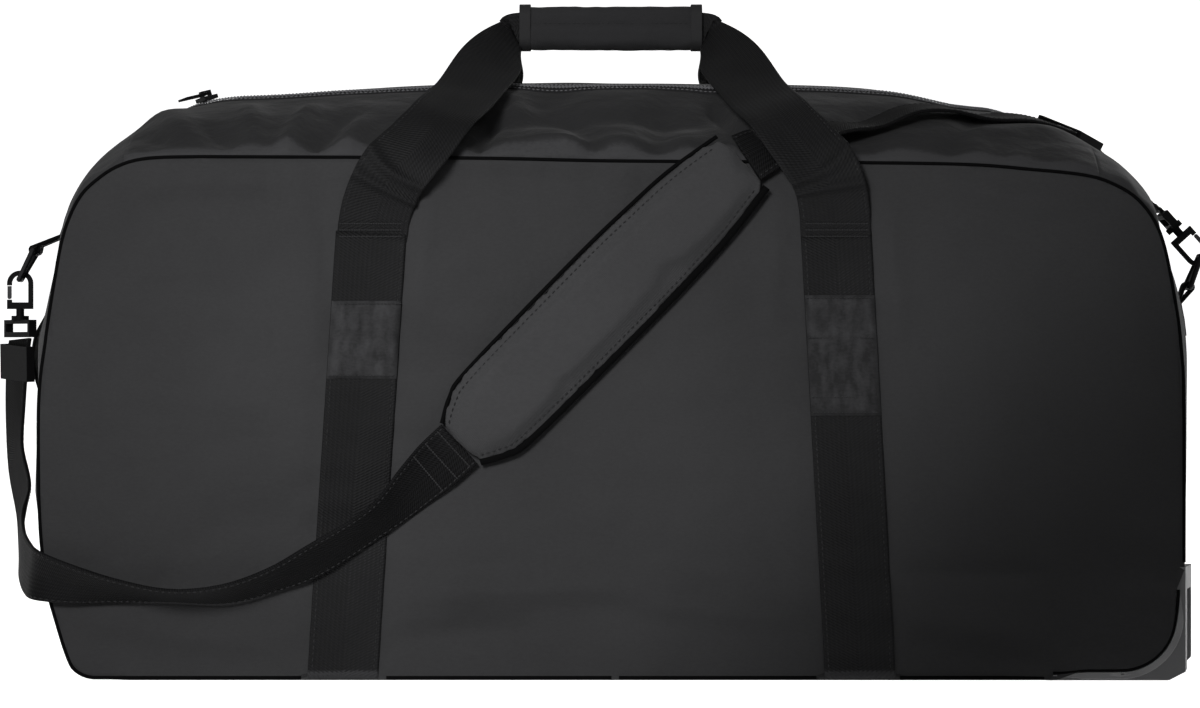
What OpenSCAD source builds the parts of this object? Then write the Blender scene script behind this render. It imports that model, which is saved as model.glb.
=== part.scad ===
// Large wheeled duffel bag: soft fabric body on a stiff base, two recessed wheels at the +X end,
// a zipped lid, a pair of webbing haul handles with a wrap grip, and a padded shoulder strap.
// Frame: +X towards the wheels, -Y the front, +Z up, origin on the base under the middle of the body.

/* [Body] */
// Overall length of the fabric body
body_l = 850; // [800:5:900]
// Overall depth of the fabric body, front to back
body_d = 400; // [380:5:420]
// Height of the body at its crest
body_h = 432; // [420:1:440]
// Height of the seam along the top of the front and rear panels
seam_z = 368; // [360:1:374]
// How far each end bulges past the front panel's edge
end_bulge = 21; // [12:1:30]
// Radius of the rounded shoulders, seen from the front
shoulder_r = 180; // [160:5:190]
// Radius of the long arc along the crest
crown_r = 3000; // [2500:100:3600]
// Thickness of the padded fabric wall
wall = 4; // [3:0.5:5]

/* [Lid] */
// Left limit of the zipped opening
lid_x0 = -330; // [-335:1:-300]
// Right limit of the zipped opening
lid_x1 = 300; // [270:1:310]
// Front limit of the zipped opening
lid_y0 = -70; // [-80:1:-60]
// Hinge fold at the rear of the opening
lid_y1 = 110; // [90:1:120]
// Gap all round the lid
lid_gap = 1.2; // [0.8:0.1:2]
// Width of one zip tape
tape_w = 10; // [8:0.5:12]

/* [Webbing] */
// Width of the haul handle webbing
haul_w = 50; // [48:1:52]
// Thickness of the haul handle webbing
haul_t = 2.4; // [2:0.1:2.6]
// Width of the shoulder strap webbing
strap_w = 38; // [36:1:40]
// Thickness of the shoulder strap webbing
strap_t = 2.4; // [2:0.1:2.6]
// Height at which the haul handles are tacked down
tack_z = 310; // [300:1:315]

/* [Grip] */
// Length of the wrap grip
grip_l = 132; // [120:1:140]
// Height of the wrap grip's section
grip_h = 32; // [30:1:34]
// Depth of the wrap grip's section, front to back
grip_d = 26; // [24:1:28]
// Height of the grip's centre above the base
grip_z = 473; // [470:1:476]

/* [Wheels] */
// Radius of the wheels
wheel_r = 38; // [34:1:39]
// Width of the wheels
wheel_w = 26; // [22:1:28]
// Distance of the wheel axis from the middle of the body
wheel_x = 372; // [368:1:374]
// Distance of each wheel's middle from the centre plane
wheel_y = 171; // [168:1:172]
// Radius of the axles
axle_r = 4; // [3:0.5:5]
// Length of the moulded wheel housings
housing_l = 115; // [110:1:120]
// Height of the moulded wheel housings
housing_h = 80; // [78:1:84]

/* [Hidden] */

fabric = "#343436";
web = "#222224";
light_fabric = "#3d3d40";
plastic = "#2a2a2c";
metal = "#7a7c80";
rubber = "#1b1b1c";

half_l = body_l / 2;
half_d = body_d / 2;
rise = body_h - seam_z;
dome_r = (half_d * half_d + rise * rise) / (2 * rise);
dome_z = body_h - dome_r;
end_r = (half_d * half_d + end_bulge * end_bulge) / (2 * end_bulge);
crown_z = body_h - crown_r;
shoulder_x = half_l - shoulder_r;
shoulder_z = crown_z + sqrt(pow(crown_r - shoulder_r, 2) - shoulder_x * shoulder_x);
blend_a = atan(shoulder_x / (shoulder_z - crown_z));
corner_r = 45;
heel_x = half_l - 52;
taper_z = 130;
seam_x = 345;
base_x0 = -370;
base_x1 = 372;
face_x = half_l - end_bulge;
$fn = 64;

// Zip tapes and piping
tape_t = 1.4;
piping_w = 5;
piping_t = 2.4;

// Load straps lean inwards from the base up to the tack under each handle
load_x_l = -185;
load_x_r = 172;
tack_x_l = -163;
tack_x_r = 155;
strap_y = half_d + haul_t / 2;
facing_t = 1.2;
facing_l = [213, 268];
facing_r = [187, 272];
handle_y = half_d + 2 * haul_t;
grip_x = grip_l / 2;
grip_corner = 7;
grip_wall = 3.2;
grip_hollow = 24;

// Grab handle of the end away from the wheels
grab_y = 48;
grab_w = 30;
grab_mid = 230;

// Wheels and what holds the housings
wheel_gap = 4;
tread_t = 7;
screw_xs = [half_l - housing_l + 10, half_l - housing_l + 26];
screw_r = 2;
screw_z = housing_h - 8;

// Rings: the bar in each tab, how far the ring leans, and its far bend
wire_r = 2;
ring_h = 25;
ring_half = 20;
bar_x_l = -half_l - 2.6;
bar_x_r = half_l + 4;
bar_z_l = 308;
bar_z_r = 280;
ring_lean_l = 28;
ring_lean_r = 180 - 22;
bend_l = [bar_x_l - ring_h * sin(ring_lean_l), 0, bar_z_l - ring_h * cos(ring_lean_l)];
bend_r = [bar_x_r + ring_h * sin(ring_lean_r), 0, bar_z_r - ring_h * cos(ring_lean_r)];

// Snap hooks, their gates and swivels, about the ring's far bend
hook_t = 5;
hook_wall = 3.4;
hook_lean_r = 180 - 42;
slot_r = 6.2;
slot_z = -3;
slot_low = -17;
stem_h = 5;
gate_x = -slot_r - hook_wall / 2;
gate_z = slot_low + 3.8;
gate_r = 1.4;
swivel_z = slot_low - 5 - stem_h;
turn_l = 30;

// Shoulder pad, and the bail of the zip sliders
pad_t = 9;
slider_lay = [334, -73.4];
slider_tilt = 30;
bail_mid = 4.7;

// Points of a round stretch about (cx, cy) from angle a0 to a1
function arc(cx, cy, r, a0, a1, n) =
    [for (i = [0:n]) [cx + r * cos(a0 + (a1 - a0) * i / n), cy + r * sin(a0 + (a1 - a0) * i / n)]];

// Body outlines seen from the front, the side and above, set in by t
function front_outline(t) = concat(
    [[-heel_x + t, t], [-heel_x - 9 + t, 9 + t], [-half_l + t, taper_z]],
    arc(-shoulder_x, shoulder_z, shoulder_r - t, 180, 90 + blend_a, 8),
    arc(0, crown_z, crown_r - t, 90 + blend_a, 90 - blend_a, 8),
    arc(shoulder_x, shoulder_z, shoulder_r - t, 90 - blend_a, 0, 8),
    arc(half_l - corner_r, corner_r, corner_r - t, 0, -90, 5));
function side_outline(t) = concat(
    [[-half_d + t, t]],
    arc(0, dome_z, dome_r - t, 180 - acos((half_d - t) / (dome_r - t)),
        acos((half_d - t) / (dome_r - t)), 12),
    [[half_d - t, t]]);
function plan_outline(t) = concat(
    arc(half_l - end_r, 0, end_r - t, -asin((half_d - t) / (end_r - t)), asin((half_d - t) / (end_r - t)), 8),
    arc(end_r - half_l, 0, end_r - t, 180 - asin((half_d - t) / (end_r - t)),
        180 + asin((half_d - t) / (end_r - t)), 8));

// Height of the outer skin over the point (x, y) of the top
function crown_at(x) = abs(x) < shoulder_x + shoulder_r * sin(blend_a)
    ? crown_z + sqrt(crown_r * crown_r - x * x)
    : shoulder_z + sqrt(max(0, pow(shoulder_r, 2) - pow(abs(x) - shoulder_x, 2)));
function dome_at(y) = dome_z + sqrt(dome_r * dome_r - y * y);
function skin_z(x, y) = min(crown_at(x), dome_at(y));

// Solid body set in by t; a negative t grows it
module body_form(t) {
    intersection() {
        rotate([90, 0, 0]) linear_extrude(body_d + 20, center = true) polygon(front_outline(t));
        rotate([90, 0, 90]) linear_extrude(body_l + 20, center = true) polygon(side_outline(t));
        translate([0, 0, -10]) linear_extrude(body_h + 20) polygon(plan_outline(t));
    }
}

module span(x0, x1, y0, y1, z0, z1) {
    translate([x0, y0, z0]) cube([x1 - x0, y1 - y0, z1 - z0]);
}

// The ring of fabric between the front and rear panels
module skin_ring() {
    difference() {
        intersection() {
            body_form(0);
            span(-half_l - 1, half_l + 1, -half_d + wall, half_d - wall, -1, body_h + 1);
        }
        body_form(wall);
    }
}

// Space taken by the moulded wheel housings, grown by g
module housing_space(g) {
    for (s = [-1, 1])
        span(half_l - housing_l - g, half_l + 10, s * wheel_y - 31 - g, s * wheel_y + 31 + g,
            -1, housing_h + g);
}

// Footprint of the zipped opening, grown by g
module lid_plan(g) {
    r = (lid_y1 - lid_y0) / 2;
    y = (lid_y1 + lid_y0) / 2;
    union() {
        translate([lid_x0 + r, y]) circle(r + g);
        translate([lid_x1 - r, y]) circle(r + g);
        translate([lid_x0 + r, y - r - g]) square([lid_x1 - lid_x0 - 2 * r, 2 * (r + g)]);
    }
}
module lid_column(g) {
    translate([0, 0, body_h - 140]) linear_extrude(160) lid_plan(g);
}

// Channels in which the load straps cross under the base
module strap_channels() {
    for (x = [load_x_l, load_x_r])
        span(x - haul_w / 2 - 0.2, x + haul_w / 2 + 0.2, -half_d - 1, half_d + 1, -1, haul_t);
}

// ---- fabric body ----
module face_panel(y0) {
    color(fabric) difference() {
        intersection() {
            body_form(0);
            span(-half_l, half_l, y0, y0 + wall, -1, body_h);
        }
        housing_space(0);
        strap_channels();
    }
}
module front_panel() { face_panel(-half_d); }
module rear_panel() { face_panel(half_d - wall); }

module end_panel(s) {
    color(fabric) difference() {
        intersection() {
            skin_ring();
            span(s > 0 ? seam_x : -half_l, s > 0 ? half_l : -seam_x, -half_d, half_d, -1, body_h);
        }
        span(base_x0, base_x1, -half_d, half_d, -1, wall);
        housing_space(0);
    }
}
module left_end_panel() { end_panel(-1); }
module right_end_panel() { end_panel(1); }

module base_panel() {
    color(fabric) difference() {
        span(base_x0, base_x1, -half_d + wall, half_d - wall, 0, wall);
        housing_space(0);
        strap_channels();
    }
}
module base_board() {
    color(plastic) span(base_x0 + 12, half_l - housing_l - 8, -half_d + 9, half_d - 9, wall, wall + 5);
}

module top_gusset(y0, y1) {
    color(fabric) difference() {
        intersection() {
            skin_ring();
            span(-seam_x, seam_x, y0, y1, seam_z - 30, body_h + 1);
        }
        lid_column(0);
    }
}
module top_gusset_front() { top_gusset(-half_d, (lid_y0 + lid_y1) / 2); }
module top_gusset_rear() { top_gusset((lid_y0 + lid_y1) / 2, half_d); }

module lid_panel() {
    color(fabric) intersection() {
        difference() {
            body_form(0);
            body_form(wall);
        }
        lid_column(-lid_gap);
    }
}

// A zip tape with its row of teeth, lying on the skin between two grown footprints
module zip_tape(g0, g1) {
    color(web) difference() {
        intersection() {
            body_form(-tape_t);
            lid_column(g1);
            span(-half_l, half_l, lid_y0 - 40, lid_y1 - 8, 300, body_h + 10);
        }
        body_form(0);
        lid_column(g0);
    }
}
module zip_tape_bag() { zip_tape(0, tape_w); }
module zip_tape_lid() { zip_tape(-tape_w, -lid_gap); }

// Piped edge that stands proud of a face panel all the way round
module piping(y0) {
    color(web) difference() {
        intersection() {
            translate([0, y0, 0]) rotate([90, 0, 0]) linear_extrude(piping_t, center = true)
                polygon(front_outline(0));
            rotate([90, 0, 90]) linear_extrude(body_l + 20, center = true) polygon(piping_side(0));
            span(-face_x, face_x, -body_d, body_d, 0, body_h);
        }
        intersection() {
            translate([0, y0, 0]) rotate([90, 0, 0]) linear_extrude(piping_t + 1, center = true)
                polygon(front_outline(piping_w));
            rotate([90, 0, 90]) linear_extrude(body_l + 20, center = true) polygon(piping_side(piping_w));
            span(-face_x + piping_w, face_x - piping_w, -body_d, body_d, 0, body_h);
        }
        housing_space(0.2);
        for (x = [load_x_l, load_x_r])
            span(x - haul_w / 2 - 0.4, x + haul_w / 2 + 0.4, -body_d, body_d, -1, 40);
    }
}
function piping_side(t) = [[-body_d, t], [-body_d, seam_z - t], [body_d, seam_z - t], [body_d, t]];
module piping_front() { piping(-half_d - piping_t / 2); }
module piping_rear() { piping(half_d + piping_t / 2); }

// ---- haul straps and handles ----
// Outline of the sewn run of a load strap on a face panel, from z0 to z1
function run_x(xa, xb, z) = xa + (xb - xa) * z / tack_z;
function run_outline(xa, xb, w, z0, z1) = [
    [run_x(xa, xb, z0) - w / 2, z0], [run_x(xa, xb, z0) + w / 2, z0],
    [run_x(xa, xb, z1) + w / 2, z1], [run_x(xa, xb, z1) - w / 2, z1]];

module face_run(y, t, xa, xb, w, z0, z1) {
    translate([0, y, 0]) rotate([90, 0, 0]) linear_extrude(t, center = true)
        polygon(run_outline(xa, xb, w, z0, z1));
}
module load_strap(xa, xb) {
    color(web) {
        for (s = [-1, 1]) face_run(s * strap_y, haul_t, xa, xb, haul_w, 0, tack_z);
        span(xa - haul_w / 2, xa + haul_w / 2, -half_d, half_d, 0, haul_t - 0.2);
    }
}
module load_strap_left() { load_strap(load_x_l, tack_x_l); }
module load_strap_right() { load_strap(load_x_r, tack_x_r); }

// Fabric facings sewn over the upper part of the load straps
module facing(s, xa, xb, z) {
    color(light_fabric) face_run(s * (half_d + haul_t + facing_t / 2), facing_t, xa, xb, haul_w, z[0], z[1]);
}
module facing_front_left() { facing(-1, load_x_l, tack_x_l, facing_l); }
module facing_front_right() { facing(-1, load_x_r, tack_x_r, facing_r); }
module facing_rear_left() { facing(1, load_x_l, tack_x_l, facing_l); }
module facing_rear_right() { facing(1, load_x_r, tack_x_r, facing_r); }

// A flat band swept along p: at each point "across" is the direction of its width
function unit(v) = v / norm(v);
function heading(p, i) = unit(p[min(i + 1, len(p) - 1)] - p[max(i - 1, 0)]);
function square_to(v, d) = unit(v - d * (v * d));
function band_ring(p, across, w, t, i) =
    let (d = heading(p, i), a = square_to(across[i], d), n = cross(d, a))
    [p[i] - a * w[i] / 2 - n * t / 2, p[i] + a * w[i] / 2 - n * t / 2,
     p[i] + a * w[i] / 2 + n * t / 2, p[i] - a * w[i] / 2 + n * t / 2];
module band(p, across, w, t) {
    n = len(p);
    pts = [for (i = [0:n - 1]) for (q = band_ring(p, across, w, t, i)) q];
    low = [for (i = [0:n - 2]) for (k = [0:3]) [4 * i + k, 4 * i + 4 + (k + 1) % 4, 4 * i + (k + 1) % 4]];
    high = [for (i = [0:n - 2]) for (k = [0:3]) [4 * i + k, 4 * i + 4 + k, 4 * i + 4 + (k + 1) % 4]];
    z = 4 * n - 4;
    caps = [[0, 1, 2], [0, 2, 3], [z, z + 2, z + 1], [z, z + 3, z + 2]];
    polyhedron(pts, concat(low, high, caps), 4);
}

// Smooth run of points between the hand-set ones (Catmull-Rom), m steps to a stretch
function knot(p, i) = p[max(0, min(len(p) - 1, i))];
function spline_at(p, i, u) =
    0.5 * (2 * knot(p, i) + (knot(p, i + 1) - knot(p, i - 1)) * u
    + (2 * knot(p, i - 1) - 5 * knot(p, i) + 4 * knot(p, i + 1) - knot(p, i + 2)) * u * u
    + (3 * knot(p, i) - knot(p, i - 1) - 3 * knot(p, i + 1) + knot(p, i + 2)) * u * u * u);
function smooth(p, m) = concat(
    [for (i = [0:len(p) - 2]) for (k = [0:m - 1]) spline_at(p, i, k / m)], [p[len(p) - 1]]);

// Front handle: up the face, over the top seam, along the grip and down again.
// Each row is a point, the direction of the width there, and the width.
handle_rows = [
    [[tack_x_l, -handle_y, tack_z + 2], [1, 0, 0], haul_w],
    [[-160, -handle_y - 3, 336], [1, 0, 0], haul_w],
    [[-152, -handle_y - 8, 358], [1, 0, -0.1], haul_w],
    [[-135, -handle_y - 2, 379], [1, -0.12, -0.3], haul_w],
    [[-118, -185, 401], [0.95, -0.36, -0.35], haul_w],
    [[-102, -122, 422], [0.87, -0.44, -0.25], haul_w],
    [[-87, -60, 447], [0.8, -0.5, -0.6], haul_w - 4],
    [[-75, -17, 466], [0.4, -0.3, -1], 26],
    [[-66.5, -9.2, grip_z], [0, 0, -1], 22],
    [[0, -9.2, grip_z], [0, 0, -1], 22]
];
function mirror_x(v) = [-v[0], v[1], v[2]];
function flip_across(v) = [v[0], -v[1], -v[2]];
handle_half = smooth([for (r = handle_rows) r[0]], 4);
half_across = smooth([for (r = handle_rows) r[1]], 4);
half_width = smooth([for (r = handle_rows) r[2]], 4);
function joined(v, flip) = concat(v, [for (i = [len(v) - 2:-1:0]) flip ? mirror_x(v[i]) : v[i]]);
handle_path = joined(handle_half, true);
handle_across = concat(half_across, [for (i = [len(half_across) - 2:-1:0]) flip_across(half_across[i])]);
handle_width = joined(half_width, false);

module front_handle_webbing() {
    color(web) band(handle_path, handle_across, handle_width, haul_t);
}
module rear_handle_webbing() {
    color(web) mirror([0, 1, 0]) band([for (p = handle_path) [p[0], min(p[1], -2.6 - haul_t / 2), p[2]]],
        handle_across, handle_width, haul_t);
}

// Wrap grip: a padded sleeve round both handles, open along its rear where the flap closes
module grip_section(w, h, r) {
    union() {
        square([w - 2 * r, h], center = true);
        square([w, h - 2 * r], center = true);
        for (x = [-1, 1]) for (y = [-1, 1]) translate([x * (w / 2 - r), y * (h / 2 - r)]) circle(r);
    }
}
module handle_grip() {
    color(fabric) translate([0, -1, grip_z]) rotate([90, 0, 90]) linear_extrude(grip_l, center = true)
        difference() {
            grip_section(grip_d, grip_h, grip_corner);
            translate([-grip_d / 2 + grip_wall, -grip_hollow / 2]) square([grip_d, grip_hollow]);
        }
}

// ---- left end grab handle ----
// Each row is a height from the handle's middle, and how far the webbing stands off the skin
grab_rows = [[-58, 1.8], [-42, 2], [-28, 6], [-12, 10.5], [0, 11.5], [12, 10.5], [28, 6.2], [42, 2.6],
    [58, 2.2]];
function end_x(y) = half_l - end_r + sqrt(end_r * end_r - y * y);
function end_skin(y, z) = min(end_x(y), z < shoulder_z ? half_l
    : shoulder_x + sqrt(pow(shoulder_r, 2) - pow(z - shoulder_z, 2)));
grab_path = smooth([for (r = grab_rows)
    [-end_skin(grab_y, grab_mid + r[0]) - r[1], grab_y, grab_mid + r[0]]], 3);
module grab_handle() {
    color(web) band(grab_path, [for (p = grab_path) [0.05, 1, 0]], [for (p = grab_path) grab_w], 2.4);
}
module grab_handle_patches() {
    color(web) for (z = [-50, 50])
        translate([-end_skin(grab_y, grab_mid + z) - (z > 0 ? 4.9 : 4), grab_y, grab_mid + z])
            rotate([0, z > 0 ? 12 : 0, 3]) cube([1, grab_w + 8, 18], center = true);
}

// ---- wheels ----
module wheel_housing(s) {
    color(plastic) difference() {
        intersection() {
            body_form(-2);
            span(half_l - housing_l, half_l + 10, s * wheel_y - 31, s * wheel_y + 31, 0, housing_h);
        }
        translate([wheel_x, s * wheel_y, wheel_r]) rotate([90, 0, 0])
            cylinder(r = wheel_r + wheel_gap, h = wheel_w + 2 * wheel_gap, center = true);
        for (low = [[wheel_x - wheel_r - wheel_gap, wheel_r], [wheel_x, wheel_r + 26]])
            span(low[0], half_l + 11, s * wheel_y - wheel_w / 2 - wheel_gap,
                s * wheel_y + wheel_w / 2 + wheel_gap, -1, low[1]);
        translate([wheel_x, s * wheel_y, wheel_r]) rotate([90, 0, 0])
            cylinder(r = axle_r, h = 50, center = true);
        for (x = screw_xs) translate([x, s * wheel_y, screw_z]) cylinder(r = screw_r, h = 20);
    }
}
module wheel_housing_front() { wheel_housing(-1); }
module wheel_housing_rear() { wheel_housing(1); }

// Screws that hold the housings from inside the bag
module housing_screws() {
    color(metal) for (s = [-1, 1]) for (x = screw_xs)
        translate([x, s * wheel_y, screw_z]) {
            cylinder(r = screw_r, h = housing_h - screw_z);
            translate([0, 0, housing_h - screw_z]) cylinder(r = 4.5, h = 2);
        }
}
module axle(s) {
    color(metal) translate([wheel_x, s * wheel_y, wheel_r]) rotate([90, 0, 0])
        cylinder(r = axle_r, h = 49, center = true);
}
module axle_front() { axle(-1); }
module axle_rear() { axle(1); }
module tyre(s) {
    color(rubber) translate([wheel_x, s * wheel_y, wheel_r]) rotate([90, 0, 0]) rotate_extrude()
        polygon([[wheel_r - tread_t, -wheel_w / 2 + 2], [wheel_r - 3, -wheel_w / 2],
            [wheel_r, -wheel_w / 2 + 4], [wheel_r, wheel_w / 2 - 4],
            [wheel_r - 3, wheel_w / 2], [wheel_r - tread_t, wheel_w / 2 - 2]]);
}
module hub(s) {
    color(plastic) translate([wheel_x, s * wheel_y, wheel_r]) rotate([90, 0, 0]) difference() {
        union() {
            cylinder(r = wheel_r - tread_t, h = wheel_w - 6, center = true);
            cylinder(r = 10, h = wheel_w + 2, center = true);
        }
        cylinder(r = axle_r + 0.06, h = wheel_w + 4, center = true);
    }
}
module wheel_front_tyre() { tyre(-1); }
module wheel_front_hub() { hub(-1); }
module wheel_rear_tyre() { tyre(1); }
module wheel_rear_hub() { hub(1); }

// ---- strap hardware ----
// Each end's ring hangs or lies from a bar in its tab; the hook holds the ring's far bend.
module at_ring(s) {
    if (s < 0) translate([bar_x_l, 0, bar_z_l]) rotate([0, ring_lean_l, 0]) children();
    else translate([bar_x_r, 0, bar_z_r]) rotate([0, -ring_lean_r, 0]) children();
}
module at_hook(s) {
    if (s < 0) translate(bend_l) children();
    else translate(bend_r) rotate([0, hook_lean_r, 0]) children();
}

// Webbing tab sewn to the end panel and looped round the ring's bar
tab_l = [[-4.2, 1.5], [27, 38], [45, 20], [20, -4], [2, -4.2]];
tab_r = [[4.2, -1.5], [1, -36], [-20, -36], [-20, 4], [-2, 4.2]];
module ring_tab(s) {
    x = s < 0 ? bar_x_l : bar_x_r;
    z = s < 0 ? bar_z_l : bar_z_r;
    color(web) difference() {
        translate([x, 0, z]) rotate([90, 0, 0]) linear_extrude(26, center = true) union() {
            circle(wire_r + 2.6);
            polygon(s < 0 ? tab_l : tab_r);
        }
        translate([x, 0, z]) rotate([90, 0, 0]) cylinder(r = wire_r + 0.08, h = 40, center = true);
        body_form(0);
    }
}
module ring_tab_left() { ring_tab(-1); }
module ring_tab_right() { ring_tab(1); }

// Triangular wire ring: a bar in the tab and two sides that meet in a round bend
module wire(a, b) {
    d = b - a;
    translate(a) rotate([0, acos(d[2] / norm(d)), atan2(d[1], d[0])]) cylinder(r = wire_r, h = norm(d));
}
module d_ring(s) {
    bend = 8;
    color(metal) at_ring(s) {
        wire([0, -ring_half, 0], [0, ring_half, 0]);
        for (k = [-1, 1]) {
            translate([0, k * ring_half, 0]) sphere(wire_r);
            wire([0, k * ring_half, 0], [0, k * bend, -ring_h]);
            translate([0, k * bend, -ring_h]) sphere(wire_r);
        }
        wire([0, -bend, -ring_h], [0, bend, -ring_h]);
    }
}
module d_ring_left() { d_ring(-1); }
module d_ring_right() { d_ring(1); }

// Snap hook in its own plane (x, z), drawn about the ring's wire, with its mouth on the outer side
module hook_section() {
    difference() {
        union() {
            translate([0, slot_z]) circle(slot_r + hook_wall);
            translate([-slot_r - hook_wall, slot_low - 5])
            square([2 * (slot_r + hook_wall), slot_z - slot_low + 5]);
        }
        translate([0, slot_z]) circle(slot_r);
        translate([-slot_r, slot_low]) square([2 * slot_r, slot_z - slot_low]);
        translate([-slot_r - hook_wall - 1, slot_low + 2])
            square([hook_wall + 2, slot_z - slot_low - 3.4]);
    }
}
module snap_hook(s) {
    color(plastic) at_hook(s) {
        rotate([90, 0, 0]) linear_extrude(hook_t, center = true) hook_section();
        translate([0, 0, slot_low - 5 - stem_h]) cylinder(r = 3, h = stem_h + 0.5);
    }
}
module snap_hook_left() { snap_hook(-1); }
module snap_hook_right() { snap_hook(1); }

// Sprung gate across the hook's mouth, hinged at its lower end
module hook_gate(s) {
    color(metal) at_hook(s) translate([gate_x, 0, gate_z])
        rotate([90, 0, 0]) linear_extrude(hook_t - 1, center = true) union() {
            circle(gate_r);
            translate([-gate_r, 0]) square([2 * gate_r, slot_z - gate_z - 1.9]);
        }
}
module hook_gate_left() { hook_gate(-1); }
module hook_gate_right() { hook_gate(1); }

// Swivel base: a collar under the hook's stem over a frame for the webbing
module hook_swivel(s) {
    color(plastic) at_hook(s) translate([0, 0, swivel_z]) rotate([0, 0, s < 0 ? turn_l : 0]) difference() {
        union() {
            translate([0, 0, -4]) cylinder(r = 6.5, h = 4);
            translate([-3, -strap_w / 2 - 4, -16]) cube([6, strap_w + 8, 13]);
        }
        translate([-4, -strap_w / 2 - 0.5, -12]) cube([8, strap_w + 1, 6]);
    }
}
module hook_swivel_left() { hook_swivel(-1); }
module hook_swivel_right() { hook_swivel(1); }

// Shoulder strap routes: point, direction of the width
foot_l = bend_l + [0, 0, swivel_z - 16];
foot_r = bend_r + (swivel_z - 17.5) * [sin(hook_lean_r), 0, cos(hook_lean_r)];
left_rows = [
    [foot_l - [0, 0, 1.5], [-0.5, 0.87, 0]],
    [[-441, -2, 226], [-0.5, 0.87, 0]],
    [[-442, -6, 194], [-0.45, 0.87, -0.1]],
    [[-440, -22, 154], [-0.35, 0.85, -0.35]],
    [[-430, -60, 122], [-0.3, 0.7, -0.6]],
    [[-427, -104, 100], [-0.1, 0.45, -0.88]],
    [[-422, -148, 87], [-0.1, 0.25, -0.95]],
    [[-414, -188, 79], [-0.1, 0.15, -1]],
    [[-405, -213, 75], [-0.1, 0.35, -0.93]],
    [[-385, -221, 70], [0, 0.6, -0.8]],
    [[-350, -226, 65], [0, 0.88, -0.47]],
    [[-310, -228, 61], [0, 0.97, -0.25]],
    [[-272, -228, 62], [0.06, 0.93, -0.36]],
    [[-238, -226, 72], [0.16, 0.89, -0.42]],
    [[-208, -225, 86], [0.32, 0.8, -0.5]],
    [[-164, -222, 114], [0.37, 0.8, -0.42]],
    [[-137, -216, 139], [0.56, 0.5, -0.6]],
    [[-120, -212, 155], [0.65, 0.1, -0.75]],
    [[-107, -211, 167], [0.68, 0, -0.73]]
];
pad_rows = [
    [[-106, -211, 168], [-0.7, 0, 0.72], 40],
    [[-94, -211, 180], [-0.7, 0, 0.73], 54],
    [[-76, -211, 198], [-0.68, 0, 0.73], 62],
    [[0, -210.5, 275], [-0.62, 0, 0.78], 64],
    [[36, -210, 311], [-0.66, 0, 0.75], 62],
    [[62, -209.5, 337], [-0.7, 0, 0.7], 58],
    [[92, -208, 366], [-0.68, 0.1, 0.74], 46]
];
// On the top the strap lies on the skin: a point there, and a width direction square to the skin
function laid(x, y, lift) = [x, y, skin_z(x, y) + lift];
function laid_width(x, y, ax, ay) =
    [ax, ay, (skin_z(x + 14 * ax, y + 14 * ay) - skin_z(x - 14 * ax, y - 14 * ay)) / 28];
right_lay = [
    [123, -190, 4.6, -0.5, 0.87], [142, -179, 4, -0.48, 0.88], [162, -168, 4.2, -0.45, 0.9],
    [186, -155, 6, -0.4, 0.92], [214, -141, 7.5, -0.36, 0.93], [240, -131, 7.5, -0.34, 0.94],
    [268, -121, 6, -0.38, 0.93], [296, -107, 5, -0.52, 0.85], [322, -86, 4.6, -0.66, 0.75],
    [346, -60, 4.6, -0.7, 0.7], [366, -32, 5, -0.55, 0.83], [386, -4, 8.5, -0.1, 1]
];
right_rows = concat(
    [[[95, -207.3, 369], [-0.7, 0.1, 0.72]], [[108, -201, 375.6], [-0.6, 0.45, 0.75]]],
    [for (r = right_lay) [laid(r[0], r[1], r[2]), laid_width(r[0], r[1], r[3], r[4])]],
    [[foot_r, [0, 1, 0]]]
);
function route(rows, m) = smooth([for (r = rows) r[0]], m);
function aim(rows, m) = smooth([for (r = rows) r[1]], m);
module strap_run(rows, m) {
    p = route(rows, m);
    color(web) band(p, aim(rows, m), [for (q = p) strap_w], strap_t);
}
module shoulder_strap_left() { strap_run(left_rows, 3); }
module shoulder_strap_right() { strap_run(right_rows, 4); }
module shoulder_pad() {
    p = route(pad_rows, 3);
    color(light_fabric) band(p, aim(pad_rows, 3), smooth([for (r = pad_rows) r[2]], 3), pad_t);
}

// Moulded three-bar slider on the shoulder strap
module slider_frame() {
    color(plastic) difference() {
        cube([6.4, strap_w + 10, 26], center = true);
        cube([3.6, strap_w + 1, 40], center = true);
    }
}
module strap_slider_left() {
    translate([-441.2, -2.3, 224]) rotate([0, 0, turn_l]) rotate([3, -2, 0]) slider_frame();
}
module strap_slider_right() {
    translate(laid(slider_lay[0], slider_lay[1], 4.7)) rotate([0, slider_tilt, 0]) rotate([0, 0, 43])
        rotate([0, 90, 0]) slider_frame();
}

// ---- zip sliders and pulls ----
module at_side_slider() {
    translate([lid_x0 + 3, (lid_y0 + lid_y1) / 2, skin_z(lid_x0 + 3, 0) + 1]) rotate([0, -28, 0]) children();
}
module at_front_slider() {
    translate([-296, -48, skin_z(-296, -48) + 1]) rotate([0, -17, 0]) rotate([0, 0, -42]) children();
}
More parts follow.
